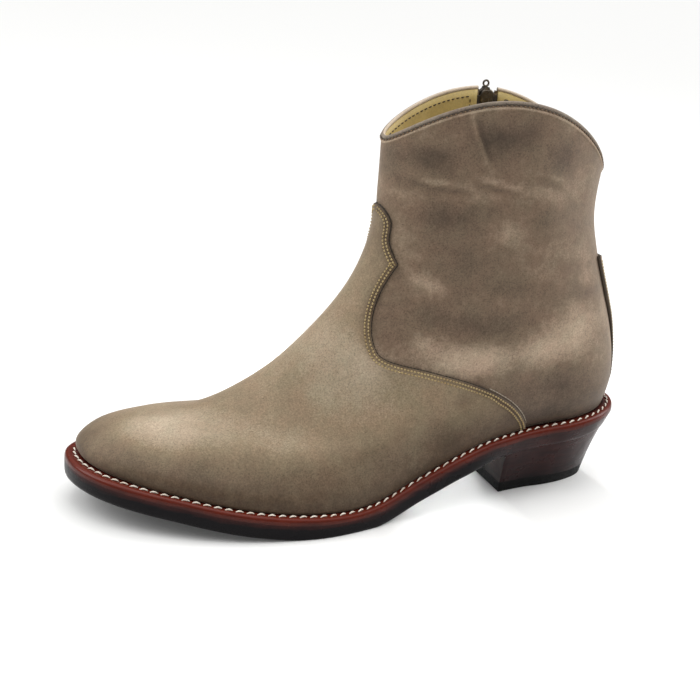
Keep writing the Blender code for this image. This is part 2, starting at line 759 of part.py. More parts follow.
def build_zip_pull(frame):
    """Pull tab hanging down the wall, its origin on the pin that its barrel turns on."""
    half = TAB_WIDTH / 2
    low = (-half, -TAB_DEPTH / 2, -TAB_LENGTH)
    high = (half, TAB_DEPTH / 2, -PIN_RADIUS - GAP)
    finish = material("pull_metal", (0.07, 0.06, 0.05), 0.3, 1.0)
    pull = add_piece("zip_pull", box_mesh("zip_pull", low, high), finish, 30.0)
    round_edges(pull)
    middle = (0.0, 0.0, 0.0)
    barrel = add_cutter("pull_barrel", rod_mesh("pull_barrel", BARREL_RADIUS, TAB_WIDTH - GAP, middle))
    bore = add_cutter("pull_bore", rod_mesh("pull_bore", PIN_RADIUS + GAP, 2 * TAB_WIDTH, middle))
    cut(pull, barrel, "UNION")
    cut(pull, bore, "DIFFERENCE")
    hinge = frame @ Matrix.Translation(Vector((0.0, PIN_OUT, PIN_UP)) * MM)
    for placed in (pull, barrel, bore):
        placed.matrix_world = hinge
    return pull


for old in list(bpy.data.objects):
    bpy.data.objects.remove(old, do_unlink=True)
PARTS = collection(OBJECT_NAME)
CUTTERS = collection("cutters")
build_outsole()
build_welt()
build_heel()
build_insole()
build_upper()
build_vamp()
build_backstay()
build_collar_binding()
build_zip_tape()
build_zip_teeth()
SLIDER_FRAME = slider_axes()
build_zip_slider(SLIDER_FRAME)
build_zip_pull(SLIDER_FRAME)
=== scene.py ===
"""Looks of a left western ankle boot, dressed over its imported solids.

Sizes are millimetres in the boot's own frame; MM turns them into metres when a mesh is made.
Stations run from the toe end of the sole to the heel, the outer side of the foot is -Y,
and the floor is z = 0.
"""

import math
from collections import namedtuple

import bmesh
import bpy
import numpy as np
from mathutils import Matrix, Vector


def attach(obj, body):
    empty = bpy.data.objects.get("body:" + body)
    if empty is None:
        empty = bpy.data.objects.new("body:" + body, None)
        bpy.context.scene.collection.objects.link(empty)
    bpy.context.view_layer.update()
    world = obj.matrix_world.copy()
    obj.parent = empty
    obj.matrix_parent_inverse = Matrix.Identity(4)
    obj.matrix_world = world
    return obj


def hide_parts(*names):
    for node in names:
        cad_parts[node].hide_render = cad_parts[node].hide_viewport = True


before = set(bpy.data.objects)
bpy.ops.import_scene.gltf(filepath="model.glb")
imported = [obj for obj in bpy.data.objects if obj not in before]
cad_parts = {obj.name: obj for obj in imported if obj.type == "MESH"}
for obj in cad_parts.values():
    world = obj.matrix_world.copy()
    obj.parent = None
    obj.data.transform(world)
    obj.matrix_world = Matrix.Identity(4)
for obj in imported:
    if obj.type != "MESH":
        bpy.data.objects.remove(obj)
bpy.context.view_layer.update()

MM = 0.001
BOOT = "boot"
PULL = "pull_tab"

# Sizes shared with the solids
SOLE_LENGTH = 300.0
AXIS_SHIFT = 2.55
GAP = 0.3
WALL = 2.0
WELT_MARGIN = 5.5
TOE_GROWTH = 0.5
TOE_START = 0.85
WELT_DEPTH = 3.7
SOLE_DEPTH = 12.0
INSOLE_DEPTH = 2.0
INSOLE_INSET = 3.2
VAMP_DEPTH = 1.2
BACKSTAY_DEPTH = 1.8
BINDING_RADIUS = 1.15
HEEL_BREAST = 223.5
HEEL_BREAST_FOOT = 226.5
HEEL_BACK_FOOT = 287.5
HEEL_INSET = -0.3
HEEL_SOLE_TUCK = 3.4
TUCK_START = 196.0
TUCK_END = 226.0
HEEL_FOOT_FRONT_SHARE = 0.67
HEEL_FOOT_BACK_SHARE = 0.50
HEEL_PINCH = 0.012
TOP_LIFT_DEPTH = 6.5
ZIP_TOP_X = 223.5
ZIP_FOOT_X = 227.0
ZIP_FOOT_Z = 67.0
ZIP_SLOT_WIDTH = 9.0
ZIP_TAPE_WIDTH = 24.0
ZIP_TAPE_BELOW = 6.0
ZIP_END_GAP = 2.0
ZIP_PITCH = 3.2

# Leather layers of the upper, as offsets from the last form, and their edges
LEATHER_DEPTH = 0.95
LINING_FACE = -1.05
LINING_DEPTH = 0.95
LINING_SLOT_WIDTH = 12.0
TAPE_FACE = -1.0
TAPE_DEPTH = 0.7
TAPE_RIM_GAP = 3.0
SKIVED_EDGE = 0.1
SKIVE_WIDTH = 5.0
RIM_BEAD_RADIUS = 1.05
RIM_BEAD_TURNED = -0.1
RIM_FOLD_LIFT = 0.4
RIM_FOLD_BELOW = 1.35
RIM_FOLD_WIDTH = 0.6
STAY_SKIVED = 0.25
STAY_SKIVE_FOOT = 63.0
STAY_SKIVE_TOP = 109.0
LINE_OUTSIDE_VAMP = 1.1
LINE_START_X = 208.0
LINE_FOOT_Z = 42.0
LINE_LIFT = 0.05

# Finish of the leather, with painted light: dye and painted shade over the welt, wear and painted highlights
# on ridges and rim, painted shade in troughs, stained seam
WELT_DYE_AND_SHADE = 1.0
WELT_DYE_AND_SHADE_REACH = 22.0
# Folds narrower than this are painted: wear and painted highlight on ridges, painted shade in troughs
PAINTED_FOLD_WIDTH = 3.5
RIDGE_WEAR_AND_HIGHLIGHT = 0.8
TROUGH_SHADE = 0.8
FOLD_END = 0.02
RIM_WEAR_AND_HIGHLIGHT = 1.0
EDGE_STAIN = 0.85
EDGE_STAIN_REACH = 4.6
SIDE_FADE = 8.0

# Mesh resolution
AROUND = 320
UPPER_ROWS = 124
RIM_ROWS = 9
RIM_LEVEL = 0.984
NEAR_RIM = 0.99
LINING_AROUND = 160
LINING_ROWS = 60
VAMP_COLUMNS = 96
EDGE_SPACING = 1.35
CURVE_STEPS = 30
SOLE_POINTS = 420
STAY_ROWS = 60
STAY_COLUMNS = 20
TAPE_ROWS = 90
TAPE_COLUMNS = 17
HEEL_STEPS = 11
PIPING_SIDES = 12
ROUND_SIDES = 20
CROWN_SIDES = 28
WIRE_SIDES = 10
SHIELD_STEPS = 8
THREAD_STEPS = 5
THREAD_SIDES = 6
NORMAL_STEP = 0.002
FEATHER_LEVEL = 0.04
LOWEST_LEVEL = 1e-4
FRONT_TURN = 0.995
FRONT_CLEAR = 0.002
HALVINGS = 40
LEVEL_STEPS = 400
SLOT_MARGIN = 6.0
CUT_TOLERANCE = 1e-7

# Angle, in degrees, above which an edge between faces stays sharp
SHARP = 40.0
SHARP_WELT = 60.0
SHARP_SOLE = 50.0
SHARP_BLOCK = 35.0

# Stitches: thread of each row, and where the rows run
Thread = namedtuple("Thread", "pitch length radius proud")
WELT_THREAD = Thread(5.3, 3.9, 0.5, 0.35)
WELT_ROW_MARGIN = 2.8
WELT_ROW_DROP = 0.4
WELT_SLANT = 1.1
VAMP_THREAD = Thread(1.75, 1.4, 0.48, 0.26)
VAMP_HOLE = Thread(1.75, 1.8, 0.52, 0.0)
# Row of dark thread along the vamp's edge itself: painted shadow under the edge
VAMP_EDGE_SHADOW = Thread(1.75, 1.8, 0.45, 0.0)
VAMP_ROWS = (1.3, 3.2)
HOLE_DEPTH = 0.12
PALE_LINE = Thread(2.0, 2.1, 0.25, 0.0)
LINING_THREAD = Thread(2.9, 2.1, 0.36, 0.2)
LINING_BESIDE = 4.2
LINING_BELOW = 3.4
LINING_TOP_GAP = 1.0
LINING_ROW_POINTS = 90
ZIP_THREAD = Thread(2.4, 1.8, 0.32, 0.16)
ZIP_ROWS = (2.2, 6.0)
ZIP_ROW_BELOW = 3.0
ZIP_ROW_TOP_GAP = 6.0
ZIP_ROW_POINTS = 120
STAY_THREAD = Thread(1.9, 1.35, 0.36, 0.16)
STAY_ROW_FOOT = 0.03
STAY_ROW_TOP = 0.985
STAY_ROW_POINTS = 160
THREAD_SINK = 0.4
THREAD_END = 0.45

# Rows under the collar's bead: distance beside the zip's slot and below the rim, height off the leather
RimRow = namedtuple("RimRow", "beside below height thread")
# The rim seam is a continuous dark thread: the seam, and painted shadow of the groove under the bead
RIM_SHADOW_SEAM = RimRow(1.5, 0.3, 0.15, Thread(2.3, 2.4, 0.5, 0.0))
RUST_ROW = RimRow(2.0, 0.4, 0.48, Thread(2.3, 1.1, 0.25, 0.1))

# Sections of the welt and of the sole's edge: growth of the outline, drop below the welt's top, darkness
SectionPoint = namedtuple("SectionPoint", "margin drop darken")
# The welt's darkness rises on its top towards the upper: painted shade of the corner against it. Down its
# outer side it is the edge's dark dye.
WELT_SECTION = [SectionPoint(*row) for row in (
    (-8.0, 0.3, 0.9),
    (0.6, 0.3, 0.8),
    (1.4, 0.35, 0.45),
    (2.2, 0.6, 0.2),
    (2.8, 0.7, 0.1),
    (3.4, 0.6, 0.0),
    (3.8, 0.45, -0.2),
    (4.7, 0.55, -0.25),
    (5.4, 0.95, 0.0),
    (5.8, 1.7, 0.2),
    (6.0, 2.8, 0.35),
    (6.0, 4.05, 0.6),
    (-8.0, 4.05, 1.0),
)]
SOLE_SECTION = [SectionPoint(*row) for row in (
    (5.0, 3.9, 0.3),
    (6.0, 4.0, 0.3),
    (6.05, 5.2, 0.6),
    (6.05, 6.6, 1.0),
    (6.05, 8.2, 1.3),
    (6.0, 10.0, 1.5),
    (5.9, 11.3, 1.5),
    (5.3, 12.0, 1.5),
)]
SOLE_FLOOR_SHARE = 0.9

# Heel and insole: tone along the sole and down the stack, rounding of the edges
HEEL_TUCK = 0.8
HEEL_DARK = 0.55
HEEL_FOOT_DARK = 0.3
HEEL_TONE_START = HEEL_BREAST - 30.0
HEEL_TONE_END = HEEL_BREAST + 12.0
BREAST_CLEAR = 0.8
CAP_ROUND = 0.5
CAP_ROUND_SHARE = 0.02
INSOLE_ROUND_DROP = 0.6
INSOLE_ROUND_INSET = 0.7

# Teeth of the zip
TOOTH_SIZE = (3.6, 1.9, 1.25)
TOOTH_ROUND = 0.28
TOOTH_SHIFT = 0.95
CHAIN_FACE = -0.6
CHAIN_FOOT_GAP = 3.0
CHAIN_TOP_GAP = 9.0

# Slider and pull tab of the zip, in the slider's own axes: along the wall, out of it, up the zip
SLIDER_ABOVE_COLLAR = 1.5
SLIDER_LENGTH = 12.0
SLIDER_BACK = 0.5
SLIDER_FACE = 3.1
SLIDER_REAR = -1.75
SLIDER_REAR_FACE = -2.7
FRONT_ROUNDS = (0.3, 0.6)
REAR_ROUND = 0.5
REAR_STEP = 0.4
POST_BACK_INSET = 0.2
POST_FRONT_INSET = 0.4
EAR_INSIDE = 3.1
EAR_OUTSIDE = 4.2
EAR_RADIUS = 1.7
EAR_SETBACK = 0.2
EAR_STRETCH = 1.6
EAR_ROUND = 0.2
PIN_RADIUS = 0.6
PIN_OUT = 5.0
PIN_UP = 2.0
PIN_PROUD = 0.15
PIN_ROUND = 0.1
BARREL_RADIUS = 1.6
BARREL_LENGTH = 5.3
BARREL_ROUND = 0.2
TAB_DEPTH = 1.4
TAB_ROUND = 0.35
TAB_STEP = 0.3
TAB_RIM = 0.8
TAB_DISH_DEPTH = 0.35
TAB_DISH_INSET = 1.1
CROWN_CENTRE = (-0.3, 0.4, 7.6)
CROWN_RADIUS = 1.5
CROWN_WIRE = 0.55
NARROWEST = 0.05

# Outlines of the slider's plates and of the pull tab: height and half width
FRONT_PLATE = ((-6.0, 1.4), (-5.4, 2.9), (-2.0, 3.5), (1.6, 4.1), (3.4, 3.4), (4.8, 1.9), (5.6, 1.2))
REAR_PLATE = ((-6.0, 1.6), (-5.3, 3.1), (-1.0, 3.6), (1.8, 4.0), (3.6, 3.2), (4.6, 2.0))
POST = ((2.4, 1.0), (3.2, 1.3), (4.8, 1.3), (5.8, 1.0))
TAB = ((-24.0, 0.6), (-23.2, 2.0), (-20.5, 2.75), (-15.0, 2.5), (-8.0, 1.7), (-4.0, 1.9), (-1.0, 2.6))

# Leather's nap: its depth, and the light it catches at a grazing look
NAP_BUMP = 0.14
NAP = {
    "Sheen Weight": 0.22,
    "Sheen Roughness": 0.45,
    "Sheen Tint": (1.0, 0.86, 0.7, 1.0),
    "Specular IOR Level": 0.28,
}

# Camera, fitted to the photo's outline: degrees, and millimetres in the boot's frame
CAMERA_YAW = 21.0
CAMERA_PITCH = 18.3
CAMERA_ROLL = 4.0
CAMERA_DISTANCE = 704.0
CAMERA_AIM = (2.5, 2.55, 100.5)
CAMERA_SHIFT = (-9.3, -22.0)
CAMERA_LENS = 70.4
CAMERA_SENSOR = 36.0
CAMERA_NEAR = 0.01

# Floor, and light tent: the sky's strength at the horizon and overhead
FLOOR_HALF = 9.0
FLOOR_COLOUR = (0.8, 0.8, 0.79, 1.0)
FLOOR_ROUGHNESS = 0.6
FLOOR_GLOW = 0.06
FLOOR_GLOW_COLOUR = (1.0, 1.0, 0.99, 1.0)
SKY_HORIZON = 0.06
SKY_ZENITH = 2.9
SKY_FOCUS = 3.0

# Soft lights of the tent: places and sizes in metres, power in watts, spread in degrees
SoftLight = namedtuple("SoftLight", "name place aim size power spread")
SOFT_LIGHTS = (
    SoftLight("toe_side", (-1.1, 0.35, 0.8), (0.0, 0.0, 0.08), (0.7, 0.9), 8.0, 180.0),
    SoftLight("heel_side", (1.1, 0.0, 0.6), (0.05, 0.0, 0.1), (0.6, 0.9), 8.0, 180.0),
    SoftLight("arch_side", (0.09, 0.32, 0.06), (0.045, 0.0, 0.0), (0.12, 0.06), 0.2, 40.0),
)

# Height of the welt's top edge at stations along the foot
SOLE_LINE = (
    (0.0, 26.8),
    (42.0, 21.3),
    (82.0, 14.5),
    (112.0, 11.4),
    (150.0, 12.6),
    (172.0, 21.3),
    (192.0, 30.8),
    (210.0, 36.4),
    (230.0, 39.0),
    (264.0, 42.2),
    (302.0, 46.0),
)

# Rings of the last seen from the side, each from a point on the back to a point on the front
SideRing = namedtuple("SideRing", "name front_x front_z back_x back_z sole_share rise")
SIDE_RINGS = [SideRing(*row) for row in (
    ("feather", 9.0, 25.9, 294.0, 45.4, 1.00, 0.0),
    ("toe_wall", 7.0, 31.6, 295.5, 52.0, 0.97, 0.0),
    ("toe_rise", 13.5, 38.4, 296.6, 58.0, 0.92, 0.0),
    ("toe_top", 32.0, 45.8, 296.8, 64.0, 0.82, 0.0),
    ("vamp_low", 62.0, 48.4, 296.2, 71.5, 0.65, 0.0),
    ("vamp_high", 95.0, 62.2, 294.2, 81.5, 0.42, 0.0),
    ("instep", 122.0, 85.8, 290.8, 94.0, 0.20, 0.5),
    ("throat", 143.2, 112.6, 285.6, 109.0, 0.05, 4.5),
    ("ankle", 153.0, 138.2, 280.0, 126.5, 0.00, 8.5),
    ("shaft", 154.0, 162.5, 275.2, 147.5, 0.00, 16.0),
    ("collar", 154.0, 187.5, 277.0, 171.5, 0.00, 30.0),
)]

# The same rings seen from above: half widths on the outer and inner side, end rounding, toe swing
PlanRing = namedtuple(
    "PlanRing",
    "name outer_heel outer_waist outer_ball inner_heel inner_waist inner_ball back_round front_round swing",
)
PLAN_RINGS = [PlanRing(*row) for row in (
    ("feather", 28.5, 40.0, 56.0, 28.5, 26.0, 40.0, 0.14, 0.32, 12.0),
    ("toe_wall", 31.0, 40.5, 55.5, 31.0, 28.5, 41.5, 0.15, 0.33, 11.5),
    ("toe_rise", 32.5, 40.0, 51.5, 32.5, 31.0, 41.0, 0.16, 0.36, 11.0),
    ("toe_top", 33.0, 38.5, 46.2, 33.0, 33.5, 35.0, 0.18, 0.42, 6.4),
    ("vamp_low", 33.0, 36.5, 41.6, 33.0, 35.5, 32.0, 0.20, 0.50, 4.5),
    ("vamp_high", 33.0, 36.5, 37.5, 33.0, 36.0, 36.0, 0.23, 0.55, 4.0),
    ("instep", 33.5, 37.0, 36.5, 33.5, 36.5, 36.0, 0.28, 0.58, 1.5),
    ("throat", 33.0, 35.5, 34.0, 33.5, 35.5, 34.5, 0.34, 0.56, 0.5),
    ("ankle", 32.5, 34.5, 33.8, 33.0, 35.0, 34.0, 0.40, 0.54, 0.0),
    ("shaft", 31.5, 33.5, 33.0, 32.0, 34.0, 33.0, 0.45, 0.52, 0.0),
    ("collar", 31.0, 32.5, 31.5, 31.5, 33.0, 32.0, 0.48, 0.52, 0.0),
)]
HEEL_STATION, WAIST_STATION, BALL_STATION = 0.15, 0.40, 0.65
RiseShape = namedtuple("RiseShape", "skew fullness")
OUTER_RISE = RiseShape(0.95, 0.9)
INNER_RISE = RiseShape(0.75, 1.1)

# Vamp's edge seen from the side: stations and heights from the tab's tip on the front down to the welt
VAMP_EDGE = (
    (148.5, 162.0),
    (157.0, 149.5),
    (157.0, 137.0),
    (160.0, 127.5),
    (152.0, 112.0),
    (147.5, 98.0),
    (148.0, 87.0),
    (154.0, 80.5),
    (177.0, 75.0),
    (200.0, 68.0),
    (219.5, 58.0),
    (230.5, 47.5),
    (235.0, 37.0),
    (237.5, 16.0),
)
VAMP_CUSP = 3

# Backstay seen from behind: heights and half widths
BACKSTAY_ROWS = ((31.0, 8.0), (71.0, 9.5), (98.0, 14.0), (126.0, 17.0))

# Soft folds of the leather seen from the side: a line of points, its half width and its lift
Fold = namedtuple("Fold", "side points width lift")
OUTER_FOLDS = (
    (((187, 207), (189, 201), (191, 194), (194, 188), (197, 181), (200, 176)), 1.25, 0.75),
    (((192, 207), (195, 198), (198, 190), (202, 182)), 4.0, -0.5),
    (((161, 173), (168, 171), (177, 170.5), (186, 170), (194, 168)), 1.9, 0.6),
    (((158, 165), (172, 164), (186, 163)), 4.0, -0.6),
    (((190, 174.5), (198, 173), (206, 171), (217, 169)), 1.5, 0.7),
    (((222, 177), (230, 175), (238, 172.5), (246, 169)), 1.4, 0.55),
    (((204, 166), (220, 164), (240, 164), (256, 167)), 4.0, -0.6),
    (((166, 185), (180, 182), (188, 179)), 6.0, -0.6),
    (((204, 195), (220, 191), (246, 185)), 9.0, -0.8),
    (((172, 109), (195, 103), (222, 99), (245, 104)), 9.0, -0.9),
    (((176, 89), (200, 83), (235, 85), (262, 91)), 8.0, 0.7),
    (((163, 141), (190, 149), (225, 147), (262, 143)), 10.0, 0.5),
    (((163, 169.5), (172, 167.5), (183, 167), (190, 166.5)), 1.8, -0.6),
    (((192, 170.5), (206, 167.5), (216, 165.8)), 1.6, -0.6),
    (((224, 173.5), (233, 171), (242, 168.5)), 1.6, -0.5),
    (((190.5, 204), (193, 196), (196, 189), (199, 182)), 1.8, -0.5),
    (((161, 127), (167, 122), (176, 118), (184, 116)), 2.6, 0.4),
)
INNER_FOLDS = (
    (((160, 167), (180, 171), (204, 170)), 2.6, 0.6),
    (((160, 160), (184, 164), (208, 163)), 4.0, -0.6),
    (((240, 169), (252, 172), (268, 169)), 2.6, 0.6),
    (((170, 109), (190, 105), (212, 107)), 8.0, -0.8),
    (((244, 113), (258, 109), (274, 113)), 7.0, -0.6),
    (((186, 197), (192, 187), (196, 177)), 1.8, 0.6),
)
FOLDS = [Fold("outer", *row) for row in OUTER_FOLDS] + [Fold("inner", *row) for row in INNER_FOLDS]

# Cloudy patches of the waxed leather, among them painted highlights on the toe, instep and quarters and
# painted shade of broad folds: centre and reach seen from the side; dark is positive
Patch = namedtuple("Patch", "side x z reach_x reach_z strength")
OUTER_PATCHES = (
    (171, 182, 13, 7, 0.85),
    (162, 170, 5, 4, 0.45),
    (205, 193, 13, 9, 0.95),
    (221, 196, 8, 6, 0.40),
    (240, 185, 9, 8, 0.70),
    (184, 153, 18, 7, 0.70),
    (234, 153, 12, 8, 0.30),
    (180, 137, 12, 8, 0.20),
    (202, 129, 16, 8, 0.25),
    (210, 118, 22, 5, 0.35),
    (262, 113, 10, 4, 0.35),
    (177, 102, 14, 7, 0.45),
    (206, 98, 16, 8, 0.70),
    (153, 92, 6, 6, 0.30),
    (244, 64, 18, 7, 0.35),
    (204, 165, 18, 4, -0.35),
    (164, 164, 8, 4, -0.25),
    (236, 167, 18, 5, -0.40),
    (255, 157, 12, 8, -0.10),
    (212, 148, 8, 6, -0.45),
    (172, 118, 7, 6, -0.45),
    (262, 120, 9, 4, -0.30),
    (172, 89, 8, 6, -0.45),
    (198, 81, 22, 8, -1.25),
    (236, 85, 16, 8, -0.75),
    (256, 93, 18, 13, -0.90),
    (160, 141, 5, 8, -0.20),
    (192, 205, 8, 3, -0.20),
    (150, 141, 7, 15, 0.45),
    (168, 43, 22, 8, 0.20),
    (193, 61, 5, 4, 0.35),
    (140, 38, 14, 8, 0.25),
    (90, 54, 10, 5, 0.12),
    (12, 35, 12, 8, -0.25),
    (40, 46, 22, 8, -1.00),
    (70, 47, 24, 7, -0.30),
    (122, 67, 10, 14, -0.30),
    (143, 76, 12, 14, -0.60),
    (124, 87, 14, 12, -0.35),
    (106, 42, 16, 6, -0.30),
)
INNER_PATCHES = (
    (176, 177, 14, 8, 0.60),
    (200, 191, 10, 9, 0.55),
    (252, 177, 12, 9, 0.60),
    (190, 111, 18, 10, 0.60),
    (258, 109, 14, 10, 0.45),
    (190, 87, 22, 7, -0.70),
    (256, 87, 18, 10, -0.50),
    (240, 151, 12, 9, -0.35),
    (180, 149, 16, 9, 0.35),
    (150, 141, 7, 15, 0.45),
    (40, 46, 22, 8, -0.40),
    (122, 79, 16, 20, -0.30),
    (146, 73, 12, 14, -0.40),
)
PATCHES = [Patch("outer", *row) for row in OUTER_PATCHES] + [Patch("inner", *row) for row in INNER_PATCHES]


# Form of the last


def smooth_curve(knots, values, at):
    """Cubic curve through the table's values, evaluated at one place or many."""
    knots = np.asarray(knots, float)
    values = np.asarray(values, float)
    step = np.diff(knots)
    slope = np.diff(values) / step
    tangent = np.empty_like(values)
    tangent[1:-1] = (slope[:-1] * step[1:] + slope[1:] * step[:-1]) / (step[:-1] + step[1:])
    tangent[0] = 1.5 * slope[0] - 0.5 * tangent[1]
    tangent[-1] = 1.5 * slope[-1] - 0.5 * tangent[-2]
    span = np.clip(np.searchsorted(knots, at) - 1, 0, len(step) - 1)
    share = (at - knots[span]) / step[span]
    rest = 1.0 - share
    return (
        (1 + 2 * share) * rest**2 * values[span]
        + share * rest**2 * step[span] * tangent[span]
        + share**2 * (3 - 2 * share) * values[span + 1]
        - share**2 * rest * step[span] * tangent[span + 1]
    )


def curve_through(rows, steps):
    """Smooth curve through a table's rows, with a number of steps between each two."""
    places = np.arange(len(rows), dtype=float)
    at = np.linspace(0.0, len(rows) - 1.0, steps * (len(rows) - 1) + 1)
    return np.column_stack([smooth_curve(places, column, at) for column in zip(*rows)])


def ease(low, high, at):
    share = np.clip((at - low) / (high - low), 0.0, 1.0)
    return share * share * (3 - 2 * share)


def unit(vectors):
    return vectors / np.linalg.norm(vectors, axis=-1, keepdims=True)


def halve(low, high, below):
    """Values between low and high at which below turns false, one for each place."""
    for _ in range(HALVINGS):
        middle = (low + high) / 2
        under = below(middle)
        low = np.where(under, middle, low)
        high = np.where(under, high, middle)
    return middle


def stations(points):
    return points[..., 0] + SOLE_LENGTH / 2


def welt_height(x):
    """Height of the welt's top edge at a station."""
    return smooth_curve(*zip(*SOLE_LINE), np.asarray(x, float))


def ring_levels():
    """Level of each ring, 0 at the feather line and 1 at the collar, by its mean climb."""
    climbs = [0.0]
    for low, high in zip(SIDE_RINGS, SIDE_RINGS[1:]):
        front = math.hypot(high.front_x - low.front_x, high.front_z - low.front_z)
        back = math.hypot(high.back_x - low.back_x, high.back_z - low.back_z)
        climbs.append(climbs[-1] + (front + back) / 2)
    return np.array(climbs) / climbs[-1]


LEVELS = ring_levels()


def side_value(column, level):
    return smooth_curve(LEVELS, [getattr(row, column) for row in SIDE_RINGS], level)


def plan_value(column, level):
    return smooth_curve(LEVELS, [getattr(row, column) for row in PLAN_RINGS], level)


def sole_bend(x):
    """How far the feather line departs from the straight line between its two ends."""
    feather = SIDE_RINGS[0]
    share = (feather.back_x - x) / (feather.back_x - feather.front_x)
    return welt_height(x) - feather.back_z - (feather.front_z - feather.back_z) * share


def rise_arch(along, shape):
    skewed = along**shape.skew
    return (4 * skewed * (1 - skewed)) ** shape.fullness


def side_point(along, level, inner):
    """Station and height of a ring's point; along is 0 at the back and 1 at the front."""
    front_x = side_value("front_x", level)
    back_x = side_value("back_x", level)
    front_z = side_value("front_z", level)
    back_z = side_value("back_z", level)
    x = back_x + (front_x - back_x) * along
    bend = sole_bend(x) - (1 - along) * sole_bend(back_x) - along * sole_bend(front_x)
    arch = np.where(inner, rise_arch(along, INNER_RISE), rise_arch(along, OUTER_RISE))
    z = back_z + (front_z - back_z) * along
    z = z + side_value("sole_share", level) * bend + side_value("rise", level) * arch
    return x, z


def end_round(share):
    """Quarter ellipse that closes a ring at its front or back end."""
    rest = 1.0 - np.clip(share, 0.0, 1.0)
    return np.sqrt(np.maximum(1.0 - rest * rest, 0.0))


def half_width(side, along, level):
    heel = plan_value(side + "_heel", level)
    waist = plan_value(side + "_waist", level)
    ball = plan_value(side + "_ball", level)
    width = heel + (waist - heel) * ease(HEEL_STATION, WAIST_STATION, along)
    width = width + (ball - waist) * ease(WAIST_STATION, BALL_STATION, along)
    back = end_round(along / plan_value("back_round", level))
    front = end_round((1 - along) / plan_value("front_round", level))
    return width * back * front


def whole_turn(count):
    """Turns of points once round the form."""
    return np.arange(count) * 2.0 / count


def share_along(turn):
    """Share of the way from a ring's back to its front."""
    return (1 - np.cos(math.pi * turn)) / 2


def form(turn, level):
    """Point of the last's outer form; turn is 0 at the back, 1 at the front, 2 at the back again."""
    turn, level = np.broadcast_arrays(turn, level)
    turn = np.mod(turn, 2.0)
    along = share_along(turn)
    inner_half = turn > 1.0
    x, z = side_point(along, level, inner_half)
    outer = -half_width("outer", along, level)
    inner = half_width("inner", along, level)
    y = AXIS_SHIFT + plan_value("swing", level) * along**2 + np.where(inner_half, inner, outer)
    return np.stack([x - SOLE_LENGTH / 2, y, z], -1)


def form_steps(turn, level):
    """Change of the form's point along turn and along level."""
    by_turn = (form(turn + NORMAL_STEP, level) - form(turn - NORMAL_STEP, level)) / (2 * NORMAL_STEP)
    low = np.clip(level - NORMAL_STEP, 0.0, 1.0)
    high = np.clip(level + NORMAL_STEP, 0.0, 1.0)
    by_level = (form(turn, high) - form(turn, low)) / (high - low)[..., None]
    return by_turn, by_level


def form_normal(turn, level):
    """Outward unit normal of the form, level along the feather line."""
    turn, level = np.broadcast_arrays(turn, level)
    by_turn, by_level = form_steps(turn, level)
    normal = np.cross(by_level, by_turn)
    normal[..., 2] *= np.clip(level / FEATHER_LEVEL, 0.0, 1.0)
    return unit(normal)


def on_form(turn, level, distance):
    """Points at a distance off the form, with the leather's folds."""
    points = form(turn, level)
    lift = np.asarray(distance) + fold_lift(points)
    return points + lift[..., None] * form_normal(turn, level)


def turn_and_level(x, z, inner):
    """Where points seen from the side lie on the outer or inner half of the form."""
    x = np.asarray(x, float)

    def along_at(level):
        back_x = side_value("back_x", level)
        return np.clip((back_x - x) / (back_x - side_value("front_x", level)), 0.0, 1.0)

    def below(level):
        return side_point(along_at(level), level, inner)[1] < z

    level = halve(np.zeros_like(x), np.ones_like(x), below)
    turn = np.arccos(1 - 2 * along_at(level)) / math.pi
    return (2 - turn if inner else turn), level


def side_share(points, side):
    """How much a point belongs to the outer or inner side, fading over the middle of the boot."""
    inner = ease(-SIDE_FADE, SIDE_FADE, points[..., 1] - AXIS_SHIFT)
    return inner if side == "inner" else 1 - inner


def fold_near(points, fold):
    """How near points of the boot are to a fold's line, fading at its ends."""
    x = stations(points)
    z = points[..., 2]
    nearest = np.full(x.shape, np.inf)
    place = np.zeros(x.shape)
    for i, ((x0, z0), (x1, z1)) in enumerate(zip(fold.points, fold.points[1:])):
        run, climb = x1 - x0, z1 - z0
        share = np.clip(((x - x0) * run + (z - z0) * climb) / (run * run + climb * climb), 0.0, 1.0)
        distance = np.hypot(x - x0 - share * run, z - z0 - share * climb)
        place = np.where(distance < nearest, (i + share) / (len(fold.points) - 1), place)
        nearest = np.minimum(nearest, distance)
    fade = np.sqrt(np.sin(math.pi * np.clip(place, 0.0, 1.0)) + FOLD_END)
    return np.exp(-((nearest / fold.width) ** 2)) * fade * side_share(points, fold.side)


def fold_lift(points):
    """Lift of the leather at points of the form."""
    lift = np.zeros(points.shape[:-1])
    for fold in FOLDS:
        lift += fold.lift * fold_near(points, fold)
    return lift


def patch_shade(points):
    """Cloudiness of the leather at points of the boot, with painted light and shade: dark above 0, light
    below.
    """
    x = stations(points)
    z = points[..., 2]
    # Darker over the welt: partly the leather's darker dye, partly painted shade of the lower walls
    shade = WELT_DYE_AND_SHADE * np.exp(-(((z - welt_height(x)) / WELT_DYE_AND_SHADE_REACH) ** 2))
    for patch in PATCHES:
        near = np.exp(-(((x - patch.x) / patch.reach_x) ** 2) - ((z - patch.z) / patch.reach_z) ** 2)
        shade += patch.strength * near * side_share(points, patch.side)
    # Narrow ridges painted lighter, partly wear and partly painted highlight; narrow troughs painted darker
    # as shade
    for fold in FOLDS:
        if fold.width < PAINTED_FOLD_WIDTH:
            shade -= (RIDGE_WEAR_AND_HIGHLIGHT if fold.lift > 0 else TROUGH_SHADE) * fold.lift * fold_near(points, fold)
    return shade


